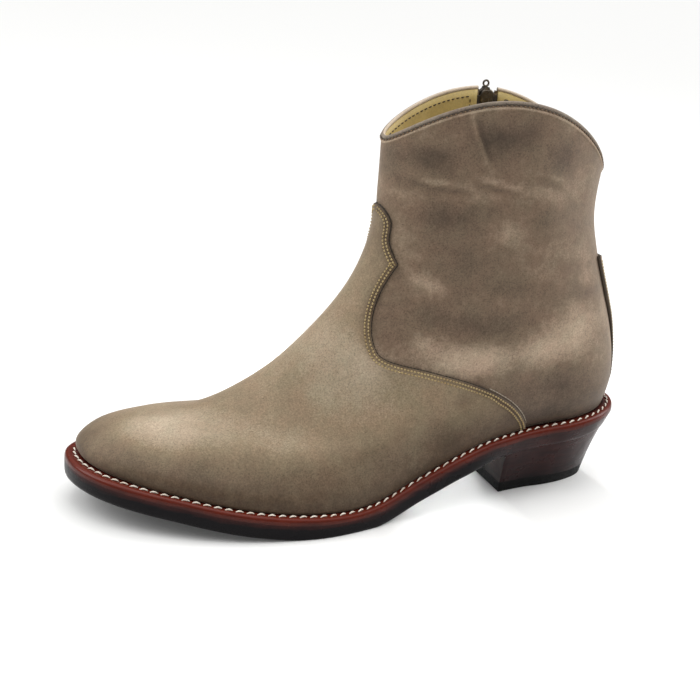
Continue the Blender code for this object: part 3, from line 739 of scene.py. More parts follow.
def feather_outline(margin):
    """Outline of the feather line grown by a margin, more at the toe: rows of x, y from the back."""
    turns = whole_turn(SOLE_POINTS)
    outline = form(turns, 0.0)[:, :2]
    tangent = form(turns + NORMAL_STEP, 0.0) - form(turns - NORMAL_STEP, 0.0)
    outward = unit(np.stack([-tangent[:, 1], tangent[:, 0]], -1))
    facing = np.sign(((outline - outline.mean(axis=0)) * outward).sum())
    growth = TOE_GROWTH * ease(TOE_START, 1.0, share_along(turns)) if margin > 0 else np.zeros(SOLE_POINTS)
    return outline + margin * (1 + growth)[:, None] * facing * outward


def sole_ring(margin, drop, lowest=-math.inf):
    """Outline of the sole grown by a margin, a drop below the welt's top edge."""
    outline = feather_outline(margin)
    heights = welt_height(stations(outline)) - drop
    return np.column_stack([outline, np.maximum(heights, lowest)])


# Node groups


def new_group(name, colours, values=()):
    """Shader group that takes named colours and values; returns it with what it is given."""
    group = bpy.data.node_groups.new(name, "ShaderNodeTree")
    for label in colours:
        group.interface.new_socket(label, in_out="INPUT", socket_type="NodeSocketColor")
    for label, value in dict(values).items():
        socket = group.interface.new_socket(label, in_out="INPUT", socket_type="NodeSocketFloat")
        socket.default_value = value
    for label, kind in (("Color", "Color"), ("Roughness", "Float"), ("Height", "Float")):
        group.interface.new_socket(label, in_out="OUTPUT", socket_type="NodeSocket" + kind)
    return group, group.nodes.new("NodeGroupInput").outputs


def put_out(group, colour, rough, height):
    """Finish a group with its colour, roughness and height."""
    end = group.nodes.new("NodeGroupOutput")
    for label, value in (("Color", colour), ("Roughness", rough), ("Height", height)):
        group.links.new(value, end.inputs[label])
    return group


def feed(tree, socket, value):
    """Set a socket to a constant, or link it to another node."""
    if isinstance(value, (int, float, tuple)):
        socket.default_value = value
    else:
        tree.links.new(value, socket)


def noise(tree, scale, detail=3.0, roughness=0.6, stretch=None):
    """Noise value at a scale in cells per metre, in the boot's frame."""
    texture = tree.nodes.new("ShaderNodeTexNoise")
    texture.inputs["Scale"].default_value = scale
    texture.inputs["Detail"].default_value = detail
    texture.inputs["Roughness"].default_value = roughness
    source = tree.nodes.new("ShaderNodeTexCoord").outputs["Object"]
    if stretch:
        mapping = tree.nodes.new("ShaderNodeMapping")
        mapping.inputs["Scale"].default_value = stretch
        tree.links.new(source, mapping.inputs["Vector"])
        source = mapping.outputs["Vector"]
    tree.links.new(source, texture.inputs["Vector"])
    return texture.outputs["Fac"]


def math_node(tree, operation, *values, clamp=False):
    node = tree.nodes.new("ShaderNodeMath")
    node.operation = operation
    node.use_clamp = clamp
    for socket, value in zip(node.inputs, values):
        feed(tree, socket, value)
    return node.outputs["Value"]


def spread(tree, value, low, high, to_low=0.0, to_high=1.0):
    """Maps a range of a value to another range, clamped."""
    node = tree.nodes.new("ShaderNodeMapRange")
    tree.links.new(value, node.inputs["Value"])
    for label, number in (("From Min", low), ("From Max", high), ("To Min", to_low), ("To Max", to_high)):
        node.inputs[label].default_value = number
    return node.outputs["Result"]


def blend_colour(tree, amount, first, second, mode="MIX"):
    node = tree.nodes.new("ShaderNodeMix")
    node.data_type = "RGBA"
    node.blend_type = mode
    for label, value in (("Factor_Float", amount), ("A_Color", first), ("B_Color", second)):
        feed(tree, next(s for s in node.inputs if s.identifier == label), value)
    return next(s for s in node.outputs if s.identifier == "Result_Color")


def nubuck_group():
    """Waxed nubuck: cloudy colour with the painted light and shade of its Shade input, fine speckle, soft
    nap.
    """
    group, given = new_group("waxed_nubuck", ("Base", "Dark", "Light"), {"Shade": 0.0, "Mottle": 1.0})
    clouds = spread(group, noise(group, 48.0, 4.0), 0.3, 0.7, -0.25, 0.25)
    blots = spread(group, noise(group, 260.0), 0.3, 0.7, -0.15, 0.15)
    cloudy = math_node(group, "MULTIPLY", math_node(group, "ADD", clouds, blots), given["Mottle"])
    shade = math_node(group, "ADD", given["Shade"], cloudy)
    colour = blend_colour(group, spread(group, shade, 0.0, 1.0), given["Base"], given["Dark"])
    colour = blend_colour(group, spread(group, shade, 0.0, -1.0), colour, given["Light"])
    speckle = noise(group, 1150.0, 2.0, 0.7)
    tone = spread(group, speckle, 0.32, 0.68, 0.78, 1.22)
    pores = spread(group, noise(group, 1500.0, 1.0, 0.5), 0.24, 0.40, 0.62, 1.0)
    warm = spread(group, noise(group, 75.0), 0.35, 0.65)
    tint = blend_colour(group, warm, (0.975, 1.005, 0.985, 1.0), (1.035, 0.99, 0.98, 1.0))
    for factor in (tone, pores, tint):
        colour = blend_colour(group, 1.0, colour, factor, "MULTIPLY")
    rough = spread(group, shade, -1.0, 1.0, 0.82, 0.58)
    nap = math_node(group, "MULTIPLY", speckle, 0.45)
    wrinkle = math_node(group, "MULTIPLY", noise(group, 420.0), 0.55)
    return put_out(group, colour, rough, math_node(group, "ADD", nap, wrinkle))


def burnished_group():
    """Polished, dyed leather edge with drawn-out streaks."""
    group, given = new_group("burnished_edge", ("Base", "Dark"), {"Darken": 0.0})
    streaks = noise(group, 240.0, stretch=(0.25, 0.25, 2.5))
    patches = noise(group, 90.0)
    uneven = math_node(group, "ADD", spread(group, streaks, 0.35, 0.7, -0.12, 0.2), given["Darken"])
    uneven = math_node(group, "ADD", uneven, spread(group, patches, 0.35, 0.7, -0.1, 0.15), clamp=True)
    colour = blend_colour(group, uneven, given["Base"], given["Dark"])
    return put_out(group, colour, spread(group, patches, 0.3, 0.7, 0.2, 0.42), streaks)


def plain_leather_group():
    """Smooth vegetable-tanned leather for lining and sock."""
    group, given = new_group("plain_leather", ("Base", "Stain"))
    stains = spread(group, noise(group, 70.0, 4.0), 0.42, 0.75, 0.0, 0.45)
    pores = noise(group, 900.0, 2.0)
    colour = blend_colour(group, stains, given["Base"], given["Stain"])
    colour = blend_colour(group, 1.0, colour, spread(group, pores, 0.3, 0.7, 0.88, 1.08), "MULTIPLY")
    return put_out(group, colour, spread(group, pores, 0.3, 0.7, 0.45, 0.65), pores)


def rubber_group():
    """Matt moulded rubber, a little dusty and rough."""
    group, given = new_group("sole_rubber", ("Base", "Dust"))
    grain = noise(group, 700.0, 3.0, 0.65)
    dust = spread(group, noise(group, 150.0, 4.0, 0.65), 0.5, 0.8, 0.0, 0.6)
    colour = blend_colour(group, dust, given["Base"], given["Dust"])
    return put_out(group, colour, spread(group, grain, 0.3, 0.7, 0.42, 0.7), grain)


def thread_group():
    """Waxed sewing thread: uneven colour and a fine twist."""
    group, given = new_group("sewing_thread", ("Base", "Shadow"))
    fibre = noise(group, 2600.0, 2.0)
    soil = spread(group, noise(group, 130.0, 2.0, 0.5), 0.45, 0.75, 0.0, 0.7)
    colour = blend_colour(group, soil, given["Base"], given["Shadow"])
    return put_out(group, colour, spread(group, fibre, 0.3, 0.7, 0.5, 0.8), fibre)


def metal_group():
    """Dark plated metal, worn lighter in spots."""
    group, given = new_group("dark_plating", ("Base", "Worn"))
    wear = noise(group, 420.0)
    colour = blend_colour(group, spread(group, wear, 0.52, 0.75), given["Base"], given["Worn"])
    return put_out(group, colour, spread(group, wear, 0.3, 0.7, 0.25, 0.45), wear)


GROUPS = {
    "nubuck": nubuck_group(),
    "burnished": burnished_group(),
    "plain": plain_leather_group(),
    "rubber": rubber_group(),
    "thread": thread_group(),
    "metal": metal_group(),
}


# Materials


def make_material(name, group, colours, bump, attributes=(), values=(), gloss=()):
    """Principled material fed by one of the groups; bump is its depth in millimetres.

    Attributes and values feed the group's inputs; gloss sets the shader's own sockets.
    """
    made = bpy.data.materials.new(name)
    made.use_nodes = True
    tree = made.node_tree
    shader = tree.nodes["Principled BSDF"]
    surface = tree.nodes.new("ShaderNodeGroup")
    surface.node_tree = GROUPS[group]
    for label, colour in colours.items():
        surface.inputs[label].default_value = (*colour, 1.0)
    for label, attribute in dict(attributes).items():
        reader = tree.nodes.new("ShaderNodeAttribute")
        reader.attribute_name = attribute
        tree.links.new(reader.outputs["Fac"], surface.inputs[label])
    for label, value in dict(values).items():
        surface.inputs[label].default_value = value
    for label, value in dict(gloss).items():
        shader.inputs[label].default_value = value
    relief = tree.nodes.new("ShaderNodeBump")
    relief.inputs["Distance"].default_value = bump * MM
    relief.inputs["Strength"].default_value = 1.0
    tree.links.new(surface.outputs["Height"], relief.inputs["Height"])
    tree.links.new(surface.outputs["Color"], shader.inputs["Base Color"])
    tree.links.new(surface.outputs["Roughness"], shader.inputs["Roughness"])
    tree.links.new(relief.outputs["Normal"], shader.inputs["Normal"])
    return made


def nubuck(name, base, dark, light, mottle=1.0):
    """Nubuck that shows the leather's clouds and wear, with painted light and shade on folds, rim and lower
    walls.
    """
    colours = {"Base": base, "Dark": dark, "Light": light}
    return make_material(name, "nubuck", colours, NAP_BUMP, {"Shade": "shade"}, {"Mottle": mottle}, NAP)


def burnished(name, base, dark, bump, gloss):
    """Burnished leather that darkens where the mesh says so."""
    colours = {"Base": base, "Dark": dark}
    return make_material(name, "burnished", colours, bump, {"Darken": "darken"}, gloss=gloss)


def plain_leather(name, base, stain, bump=0.05):
    return make_material(name, "plain", {"Base": base, "Stain": stain}, bump)


def thread(name, base, shadow, bump=0.05):
    return make_material(name, "thread", {"Base": base, "Shadow": shadow}, bump)


def shaft_material():
    return nubuck("shaft_nubuck", (0.170, 0.118, 0.078), (0.060, 0.039, 0.026), (0.40, 0.305, 0.22))


def vamp_material():
    return nubuck("vamp_nubuck", (0.238, 0.178, 0.112), (0.066, 0.040, 0.022), (0.46, 0.385, 0.285), 0.55)


def backstay_material():
    return nubuck("backstay_nubuck", (0.185, 0.134, 0.092), (0.06, 0.04, 0.03), (0.34, 0.26, 0.185))


def piping_material():
    colours = {"Base": (0.21, 0.168, 0.132), "Dark": (0.09, 0.07, 0.055), "Light": (0.36, 0.31, 0.25)}
    return make_material("piping_nubuck", "nubuck", colours, 0.08, gloss=NAP)


def cut_edge_material():
    colours = {"Base": (0.055, 0.038, 0.024), "Dark": (0.02, 0.014, 0.009), "Light": (0.12, 0.085, 0.05)}
    return make_material("cut_leather_edge", "nubuck", colours, 0.12)


def piping_inside_material():
    return plain_leather("piping_inside", (0.56, 0.46, 0.35), (0.40, 0.31, 0.21))


def lining_material():
    return plain_leather("lining_leather", (0.55, 0.415, 0.15), (0.43, 0.30, 0.095))


def sock_material():
    return plain_leather("sock_leather", (0.50, 0.37, 0.18), (0.3, 0.2, 0.09), 0.06)


def welt_material():
    gloss = {"Coat Weight": 0.12, "Coat Roughness": 0.25, "Specular IOR Level": 0.14}
    return burnished("welt_mahogany", (0.108, 0.015, 0.007), (0.010, 0.004, 0.004), 0.10, gloss)


def sole_edge_material():
    gloss = {"Specular IOR Level": 0.1}
    return burnished("sole_edge_black", (0.050, 0.013, 0.011), (0.005, 0.004, 0.005), 0.16, gloss)


def heel_material():
    gloss = {"Specular IOR Level": 0.08}
    return burnished("heel_mahogany", (0.050, 0.013, 0.011), (0.008, 0.005, 0.006), 0.08, gloss)


def top_lift_material():
    colours = {"Base": (0.004, 0.004, 0.004), "Dust": (0.012, 0.012, 0.012)}
    return make_material("top_lift_black", "rubber", colours, 0.15, gloss={"Specular IOR Level": 0.08})


def cream_thread_material():
    return thread("cream_thread", (0.82, 0.76, 0.66), (0.55, 0.43, 0.32), 0.06)


def ochre_thread_material():
    return thread("ochre_thread", (0.40, 0.30, 0.14), (0.26, 0.17, 0.07))


def rust_thread_material():
    return thread("rust_thread", (0.20, 0.115, 0.055), (0.12, 0.07, 0.035))


def pale_line_material():
    return thread("pale_line", (0.42, 0.36, 0.28), (0.30, 0.24, 0.17))


# Dark brown thread: the lining's stitches, and the rim seam that is also painted shadow under the bead
def dark_thread_and_shadow_material():
    return thread("brown_thread_and_shadow", (0.05, 0.032, 0.018), (0.025, 0.016, 0.01))


# Dark thread for the needle holes and for the painted shadow along the vamp's edge
def hole_and_shadow_material():
    return thread("needle_hole_and_shadow", (0.03, 0.02, 0.01), (0.015, 0.01, 0.006), 0.02)


def tape_material():
    return thread("zip_tape_weave", (0.045, 0.032, 0.022), (0.025, 0.018, 0.012), 0.1)


def plating_material(name):
    colours = {"Base": (0.10, 0.085, 0.07), "Worn": (0.26, 0.22, 0.17)}
    return make_material(name, "metal", colours, 0.03, gloss={"Metallic": 1.0})


# Mesh helpers


def mesh_from(name, points, faces):
    """Mesh from points in millimetres and faces of point numbers."""
    mesh = bpy.data.meshes.new(name)
    mesh.from_pydata((np.asarray(points, float).reshape(-1, 3) * MM).tolist(), [], faces)
    mesh.update()
    return mesh


def grid_faces(rows, columns, closed):
    """Quads of a grid; closed joins its last column to the first."""
    across = columns if closed else columns - 1
    first, second = np.meshgrid(np.arange(rows - 1), np.arange(across), indexing="ij")
    here = first * columns + second
    right = first * columns + (second + 1) % columns
    return np.stack([here, right, right + columns, here + columns], -1).reshape(-1, 4).tolist()


def hoop_faces(rows, columns):
    """Quads of a grid whose last row meets its first one, and its last column the first."""
    total = rows * columns
    return [[corner % total for corner in face] for face in grid_faces(rows + 1, columns, True)]


def tube_faces(rows, columns):
    """Quads of a closed grid, with a cap on each end."""
    last = (rows - 1) * columns
    return grid_faces(rows, columns, True) + [list(range(columns))[::-1], list(range(last, last + columns))]


def rung_faces(count, start):
    """Rungs across a ring that starts at one end of the sole."""
    faces = []
    for i in range(count // 2):
        corners = dict.fromkeys([i, i + 1, (count - i - 1) % count, (count - i) % count])
        if len(corners) > 2:
            faces.append([start + corner for corner in corners])
    return faces


def fix_normals(mesh):
    fixed = bmesh.new()
    fixed.from_mesh(mesh)
    bmesh.ops.recalc_face_normals(fixed, faces=fixed.faces)
    fixed.to_mesh(mesh)
    fixed.free()


def sheet(name, points, closed, outward):
    """Sheet through a grid of points, its first face turned to look along outward."""
    mesh = mesh_from(name, points, grid_faces(*points.shape[:2], closed))
    if mesh.polygons[0].normal.dot(Vector(outward)) < 0:
        mesh.flip_normals()
    return mesh


def ring_stack(name, rings, capped):
    """Closed solid through rings; capped closes its two ends, otherwise the last ring meets the first."""
    count = len(rings[0])
    if capped:
        faces = grid_faces(len(rings), count, True)
        faces += rung_faces(count, 0) + rung_faces(count, (len(rings) - 1) * count)
    else:
        faces = hoop_faces(len(rings), count)
    mesh = mesh_from(name, np.concatenate(rings), faces)
    fix_normals(mesh)
    return mesh


def repeat_mesh(name, blocks, faces):
    """One mesh of many equal blocks of points."""
    size = blocks.shape[1]
    made = [[corner + size * i for corner in face] for i in range(len(blocks)) for face in faces]
    return mesh_from(name, blocks, made)


def join_meshes(name, meshes):
    """One mesh of several."""
    joined = bmesh.new()
    for mesh in meshes:
        joined.from_mesh(mesh)
        bpy.data.meshes.remove(mesh)
    made = bpy.data.meshes.new(name)
    joined.to_mesh(made)
    joined.free()
    return made


def add_piece(name, mesh, finish, body=BOOT, stands_for=(), sharp=SHARP):
    """Place a piece of the boot on its body, standing for the named solids."""
    made = bpy.data.objects.new(name, mesh)
    bpy.context.scene.collection.objects.link(made)
    for entry in finish if isinstance(finish, list) else [finish]:
        mesh.materials.append(entry)
    mesh.shade_smooth()
    mesh.set_sharp_from_angle(angle=math.radians(sharp))
    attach(made, body)
    if stands_for:
        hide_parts(*stands_for)
    return made


def thicken(piece, depth, edge_material=0):
    """Give a sheet its depth, inward from its face."""
    solid = piece.modifiers.new("depth", "SOLIDIFY")
    solid.thickness = depth * MM
    solid.offset = -1.0
    solid.material_offset_rim = edge_material
    return solid


def store_value(mesh, name, values):
    """Store a value for each of the mesh's points."""
    values = np.asarray(values, np.float32).ravel()
    mesh.attributes.new(name, "FLOAT", "POINT").data.foreach_set("value", values)


def paint_shade(mesh, extra=0.0):
    """Store the leather's cloudiness and painted light and shade on the mesh's points, with an extra share
    for each.
    """
    places = np.empty(len(mesh.vertices) * 3)
    mesh.vertices.foreach_get("co", places)
    store_value(mesh, "shade", patch_shade(places.reshape(-1, 3) / MM) + np.ravel(extra))


def path_length(points):
    return np.concatenate([[0.0], np.cumsum(np.linalg.norm(np.diff(points, axis=0), axis=1))])


def along_path(path, values, lengths):
    """Values carried along a path, at given lengths along it."""
    run = path_length(path)
    return np.stack([np.interp(lengths, run, column) for column in values.T], -1)


def round_angles(count):
    return np.arange(count) * 2 * math.pi / count


def ring_directions(first, second, count):
    """Directions round a tube from its two cross axes."""
    angles = round_angles(count)[:, None]
    return np.cos(angles) * first[..., None, :] + np.sin(angles) * second[..., None, :]


def stitch_mesh(name, path, normals, row, slant=0.0):
    """A row of separate stitches along a path that lies on a surface."""
    total = path_length(path)[-1]
    count = max(int(total / row.pitch), 1)
    starts = (np.arange(count) + 0.5) * total / count - row.length / 2
    shares = np.linspace(0.0, 1.0, THREAD_STEPS)
    lengths = starts[:, None] + shares[None, :] * row.length
    centres = along_path(path, path, lengths)
    ups = unit(along_path(path, normals, lengths))
    sides = unit(np.cross(ups, unit(np.gradient(centres, axis=1))))
    bow = np.sin(math.pi * shares)
    rise = row.proud * bow - row.radius * THREAD_SINK * (1 - bow)
    centres = centres + ups * rise[None, :, None]
    centres = centres + sides * (slant * (shares - 0.5))[None, :, None]
    girth = row.radius * (THREAD_END + (1 - THREAD_END) * bow)
    ring = ring_directions(sides, ups, THREAD_SIDES)
    points = centres[:, :, None, :] + ring * girth[None, :, None, None]
    return repeat_mesh(name, points.reshape(count, -1, 3), tube_faces(THREAD_STEPS, THREAD_SIDES))


def shift_path(turn, level, distance):
    """Path moved sideways over the form, to its left seen from outside."""
    run = np.gradient(form(turn, level), axis=0)
    side = distance * unit(np.cross(form_normal(turn, level), run))
    by_turn, by_level = form_steps(turn, level)
    a = (by_turn * by_turn).sum(1)
    b = (by_turn * by_level).sum(1)
    c = (by_level * by_level).sum(1)
    p = (side * by_turn).sum(1)
    q = (side * by_level).sum(1)
    scale = a * c - b * b
    return turn + (c * p - b * q) / scale, np.clip(level + (a * q - b * p) / scale, 0.0, 1.0)


# Upper: shaft and quarters, lining, vamp, backstay, piping


def collar_height_at_zip():
    collar = SIDE_RINGS[-1]
    along = (collar.back_x - ZIP_TOP_X) / (collar.back_x - collar.front_x)
    return float(side_point(along, 1.0, True)[1])


COLLAR_AT_ZIP = collar_height_at_zip()


def zip_line_x(z):
    share = (z - ZIP_FOOT_Z) / (COLLAR_AT_ZIP - ZIP_FOOT_Z)
    return ZIP_FOOT_X + (ZIP_TOP_X - ZIP_FOOT_X) * share


def zip_line_point(z):
    return Vector((zip_line_x(z) - SOLE_LENGTH / 2, 0.0, z)) * MM


def cut_slot(mesh, width, foot_z):
    """Cut the zip's slot out of a sheet: two slanted cuts on the inner side and one across their foot."""
    made = bmesh.new()
    made.from_mesh(mesh)
    foot = zip_line_point(foot_z)
    up = (zip_line_point(COLLAR_AT_ZIP) - foot).normalized()
    across = up.cross(Vector((0.0, 1.0, 0.0)))
    half = width / 2 * MM
    margin = SLOT_MARGIN * MM

    def near(face):
        centre = face.calc_center_median()
        beside = abs((centre - foot).dot(across)) < half + margin
        return centre.y > AXIS_SHIFT * MM and beside and centre.z > foot.z - margin

    cuts = ((foot + across * half, across), (foot - across * half, across), (foot, up))
    for place, direction in cuts:
        faces = [face for face in made.faces if near(face)]
        edges = list({edge for face in faces for edge in face.edges})
        points = list({point for face in faces for point in face.verts})
        geometry = faces + edges + points
        bmesh.ops.bisect_plane(made, geom=geometry, plane_co=place, plane_no=direction, dist=CUT_TOLERANCE)
    inside = []
    for face in made.faces:
        offset = face.calc_center_median() - foot
        if near(face) and abs(offset.dot(across)) < half and offset.dot(up) > 0:
            inside.append(face)
    bmesh.ops.delete(made, geom=inside, context="FACES")
    made.to_mesh(mesh)
    made.free()


def rim_climb(turns):
    """Millimetres to a level just under the rim."""
    return np.linalg.norm(form_steps(turns, np.full(len(turns), NEAR_RIM))[1], axis=1)


def shaft_and_quarters():
    """Outer leather of shaft and foot, its upper edge folded under the bead."""
    turns = whole_turn(AROUND)
    low_levels = np.linspace(0.0, RIM_LEVEL, UPPER_ROWS)
    levels = np.concatenate([low_levels, np.linspace(RIM_LEVEL, 1.0, RIM_ROWS)[1:]])
    from_rim = (1 - levels)[:, None] * rim_climb(turns)[None, :]
    fold = np.exp(-(((from_rim - RIM_FOLD_BELOW) / RIM_FOLD_WIDTH) ** 2))
    points = on_form(turns[None, :], levels[:, None], RIM_FOLD_LIFT * fold)
    mesh = sheet("shaft_and_quarters", points, True, (1.0, 0.0, 0.0))
    # The fold ridge under the rim is painted lighter: wear and a painted highlight
    paint_shade(mesh, -RIM_WEAR_AND_HIGHLIGHT * fold)
    cut_slot(mesh, ZIP_SLOT_WIDTH, ZIP_FOOT_Z)
    finish = [shaft_material(), CUT_EDGE]
    piece = add_piece("shaft_and_quarters", mesh, finish, stands_for=("upper",))
    thicken(piece, LEATHER_DEPTH, 1)


def lining():
    turns = whole_turn(LINING_AROUND)
    levels = np.linspace(0.0, 1.0, LINING_ROWS)
    points = on_form(turns[None, :], levels[:, None], LINING_FACE)
    mesh = sheet("lining", points, True, (1.0, 0.0, 0.0))
    cut_slot(mesh, LINING_SLOT_WIDTH, ZIP_FOOT_Z - ZIP_TAPE_BELOW / 2)
    piece = add_piece("lining", mesh, lining_material(), stands_for=("upper",))
    thicken(piece, LINING_DEPTH)


def vamp_edge():
    """The vamp's edge on the outer and inner side: rows of turn and level from the tab down to the welt."""
    tab = curve_through(VAMP_EDGE[: VAMP_CUSP + 1], CURVE_STEPS)
    wing = curve_through(VAMP_EDGE[VAMP_CUSP:], CURVE_STEPS)
    curve = np.vstack([tab, wing[1:]])
    outer = np.column_stack(turn_and_level(curve[:, 0], curve[:, 1], False))
    inner = np.column_stack(turn_and_level(curve[:, 0], curve[:, 1], True))
    shown = (outer[:, 0] < FRONT_TURN) & (outer[:, 1] > LOWEST_LEVEL) & (inner[:, 1] > LOWEST_LEVEL)
    path = form(*outer[shown].T)
    run = path_length(path)
    to_cusp = curve[shown] - VAMP_EDGE[VAMP_CUSP]
    cusp_run = run[np.argmin(np.hypot(to_cusp[:, 0], to_cusp[:, 1]))]
    lengths = np.linspace(0.0, run[-1], int(run[-1] / EDGE_SPACING))
    lengths[np.argmin(abs(lengths - cusp_run))] = cusp_run
    sides = [along_path(path, side[shown], lengths) for side in (outer, inner)]
    for side in sides:
        side[-1, 1] = 0.0
    return sides


def skived_height(to_edge):
    """Height of the vamp's face off the form, skived down towards its edge."""
    return GAP + VAMP_DEPTH - SKIVED_EDGE * (1 - ease(0.0, SKIVE_WIDTH, to_edge))


def vamp():
    outer, inner = VAMP_SIDES
    shares = np.linspace(-1.0, 1.0, 2 * VAMP_COLUMNS + 1)[None, :]
    middle = (outer[:, 1:] + inner[:, 1:]) / 2
    turns = 1 + shares * np.where(shares < 0, 1 - outer[:, :1], inner[:, :1] - 1)
    levels = middle + abs(shares) * (np.where(shares < 0, outer[:, 1:], inner[:, 1:]) - middle)
    bare = form(turns, levels)
    step = np.linalg.norm(np.diff(bare, axis=1), axis=2)
    from_outer = np.concatenate([np.zeros((len(turns), 1)), np.cumsum(step, axis=1)], axis=1)
    from_tip = path_length(bare[:, VAMP_COLUMNS])[:, None]
    to_edge = np.minimum(np.minimum(from_outer, from_outer[:, -1:] - from_outer), from_tip)
    points = on_form(turns, levels, skived_height(to_edge))
    mesh = sheet("vamp", points, False, (-1.0, 0.0, 0.3))
    paint_shade(mesh, EDGE_STAIN * np.exp(-((to_edge / EDGE_STAIN_REACH) ** 2)))
    piece = add_piece("vamp_leather", mesh, [vamp_material(), CUT_EDGE], stands_for=("vamp",))
    thicken(piece, VAMP_DEPTH - SKIVED_EDGE, 1)


def backstay_top():
    """Level of the backstay's upper end."""
    levels = np.linspace(0.0, 1.0, LEVEL_STEPS)
    return np.interp(BACKSTAY_ROWS[-1][0], side_value("back_z", levels), levels)


def stay_edge(levels):
    """Turn at which the backstay ends on the outer side, for each level."""
    half = np.interp(side_value("back_z", levels), *zip(*BACKSTAY_ROWS))

    def inside(turn):
        return AXIS_SHIFT - form(turn, levels)[:, 1] < half

    return halve(np.zeros_like(levels), np.full_like(levels, 0.5), inside)


def stay_depth(levels):
    """Depth of the backstay, skived thin where it goes down over the heel."""
    full = ease(STAY_SKIVE_FOOT, STAY_SKIVE_TOP, side_value("back_z", levels))
    return BACKSTAY_DEPTH * (STAY_SKIVED + (1 - STAY_SKIVED) * full)


def backstay():
    columns = 2 * STAY_COLUMNS + 1
    levels = np.linspace(0.0, STAY_TOP, STAY_ROWS)
    turns = -stay_edge(levels)[:, None] * np.linspace(-1.0, 1.0, columns)[None, :]
    points = on_form(turns, levels[:, None], (GAP + stay_depth(levels))[:, None])
    mesh = sheet("backstay", points, False, (1.0, 0.0, 0.0))
    paint_shade(mesh)
    finish = [backstay_material(), CUT_EDGE]
    piece = add_piece("backstay_strip", mesh, finish, stands_for=("backstay",))
    shares = piece.vertex_groups.new(name="depth")
    for row, depth in enumerate(stay_depth(levels)):
        shares.add(list(range(row * columns, (row + 1) * columns)), depth / BACKSTAY_DEPTH, "REPLACE")
    thicken(piece, BACKSTAY_DEPTH, 1).vertex_group = shares.name


def rim_turns(beside):
    """Turns along the collar from the back side of the zip's slot round to its front side."""
    reach = ZIP_SLOT_WIDTH / 2 + beside
    front_end, _ = turn_and_level(ZIP_TOP_X - reach, COLLAR_AT_ZIP, True)
    back_end, _ = turn_and_level(ZIP_TOP_X + reach, COLLAR_AT_ZIP, True)
    return np.linspace(float(back_end) - 2.0, float(front_end), AROUND)


def piping():
    """Rolled bead on the rim of the collar, its inner half of paler leather."""
    turns = rim_turns(BINDING_RADIUS)
    rim = form(turns, 1.0)
    normal = form_normal(turns, 1.0)
    off_rim = unit(np.cross(unit(np.gradient(rim, axis=0)), normal))
    off_rim *= np.sign(off_rim[:, 2:])
    centre = rim - normal * WALL / 2 + off_rim * (BINDING_RADIUS - GAP)
    points = centre[:, None] + ring_directions(normal, off_rim, PIPING_SIDES) * RIM_BEAD_RADIUS
    mesh = mesh_from("piping", points, tube_faces(AROUND, PIPING_SIDES))
    facing = np.cos(round_angles(PIPING_SIDES) + math.pi / PIPING_SIDES)
    inside = np.append(np.tile(facing < RIM_BEAD_TURNED, AROUND - 1), (False, False))
    mesh.polygons.foreach_set("material_index", inside.astype(np.int32))
    fix_normals(mesh)
    finish = [piping_material(), piping_inside_material()]
    add_piece("rim_piping", mesh, finish, stands_for=("collar_binding",))


# Sole, heel, insole


def welt():
    """Welt strip: a stitched ledge round the upper, its edge rounded down to the sole."""
    rings = [sole_ring(point.margin, point.drop) for point in WELT_SECTION]
    mesh = ring_stack("welt", rings, False)
    store_value(mesh, "darken", np.repeat([point.darken for point in WELT_SECTION], SOLE_POINTS))
    add_piece("welt_strip", mesh, welt_material(), stands_for=("welt",), sharp=SHARP_WELT)


def welt_stitches():
    ring = sole_ring(WELT_ROW_MARGIN, WELT_ROW_DROP)
    path = np.vstack([ring, ring[:1]])
    up = np.tile((0.0, 0.0, 1.0), (len(path), 1))
    mesh = stitch_mesh("welt_stitches", path, up, WELT_THREAD, WELT_SLANT)
    add_piece("welt_stitches", mesh, cream_thread_material())


def tucked_ring(margin, drop):
    """Ring of the sole's edge, drawn in over the heel so that its slant runs on into the heel."""
    share = (drop - WELT_DEPTH) / (SOLE_DEPTH - WELT_DEPTH)
    lowest = (SOLE_DEPTH - drop) * SOLE_FLOOR_SHARE
    ring = sole_ring(margin, drop, lowest)
    inside = sole_ring(margin - HEEL_SOLE_TUCK * share, drop, lowest)
    return ring + (inside - ring) * ease(TUCK_START, TUCK_END, stations(ring))[:, None]


def outsole():
    """Sole edge, red under the welt and black below; mahogany like the heel where it stands on it."""
    rings = [tucked_ring(point.margin, point.drop) for point in SOLE_SECTION]
    mesh = ring_stack("outsole", rings, True)
    on_heel = ease(HEEL_TONE_START, HEEL_TONE_END, stations(rings[0]))
    darken = [point.darken + (HEEL_DARK - point.darken) * on_heel for point in SOLE_SECTION]
    store_value(mesh, "darken", darken)
    finish = sole_edge_material()
    add_piece("outsole_edge", mesh, finish, stands_for=("outsole",), sharp=SHARP_SOLE)


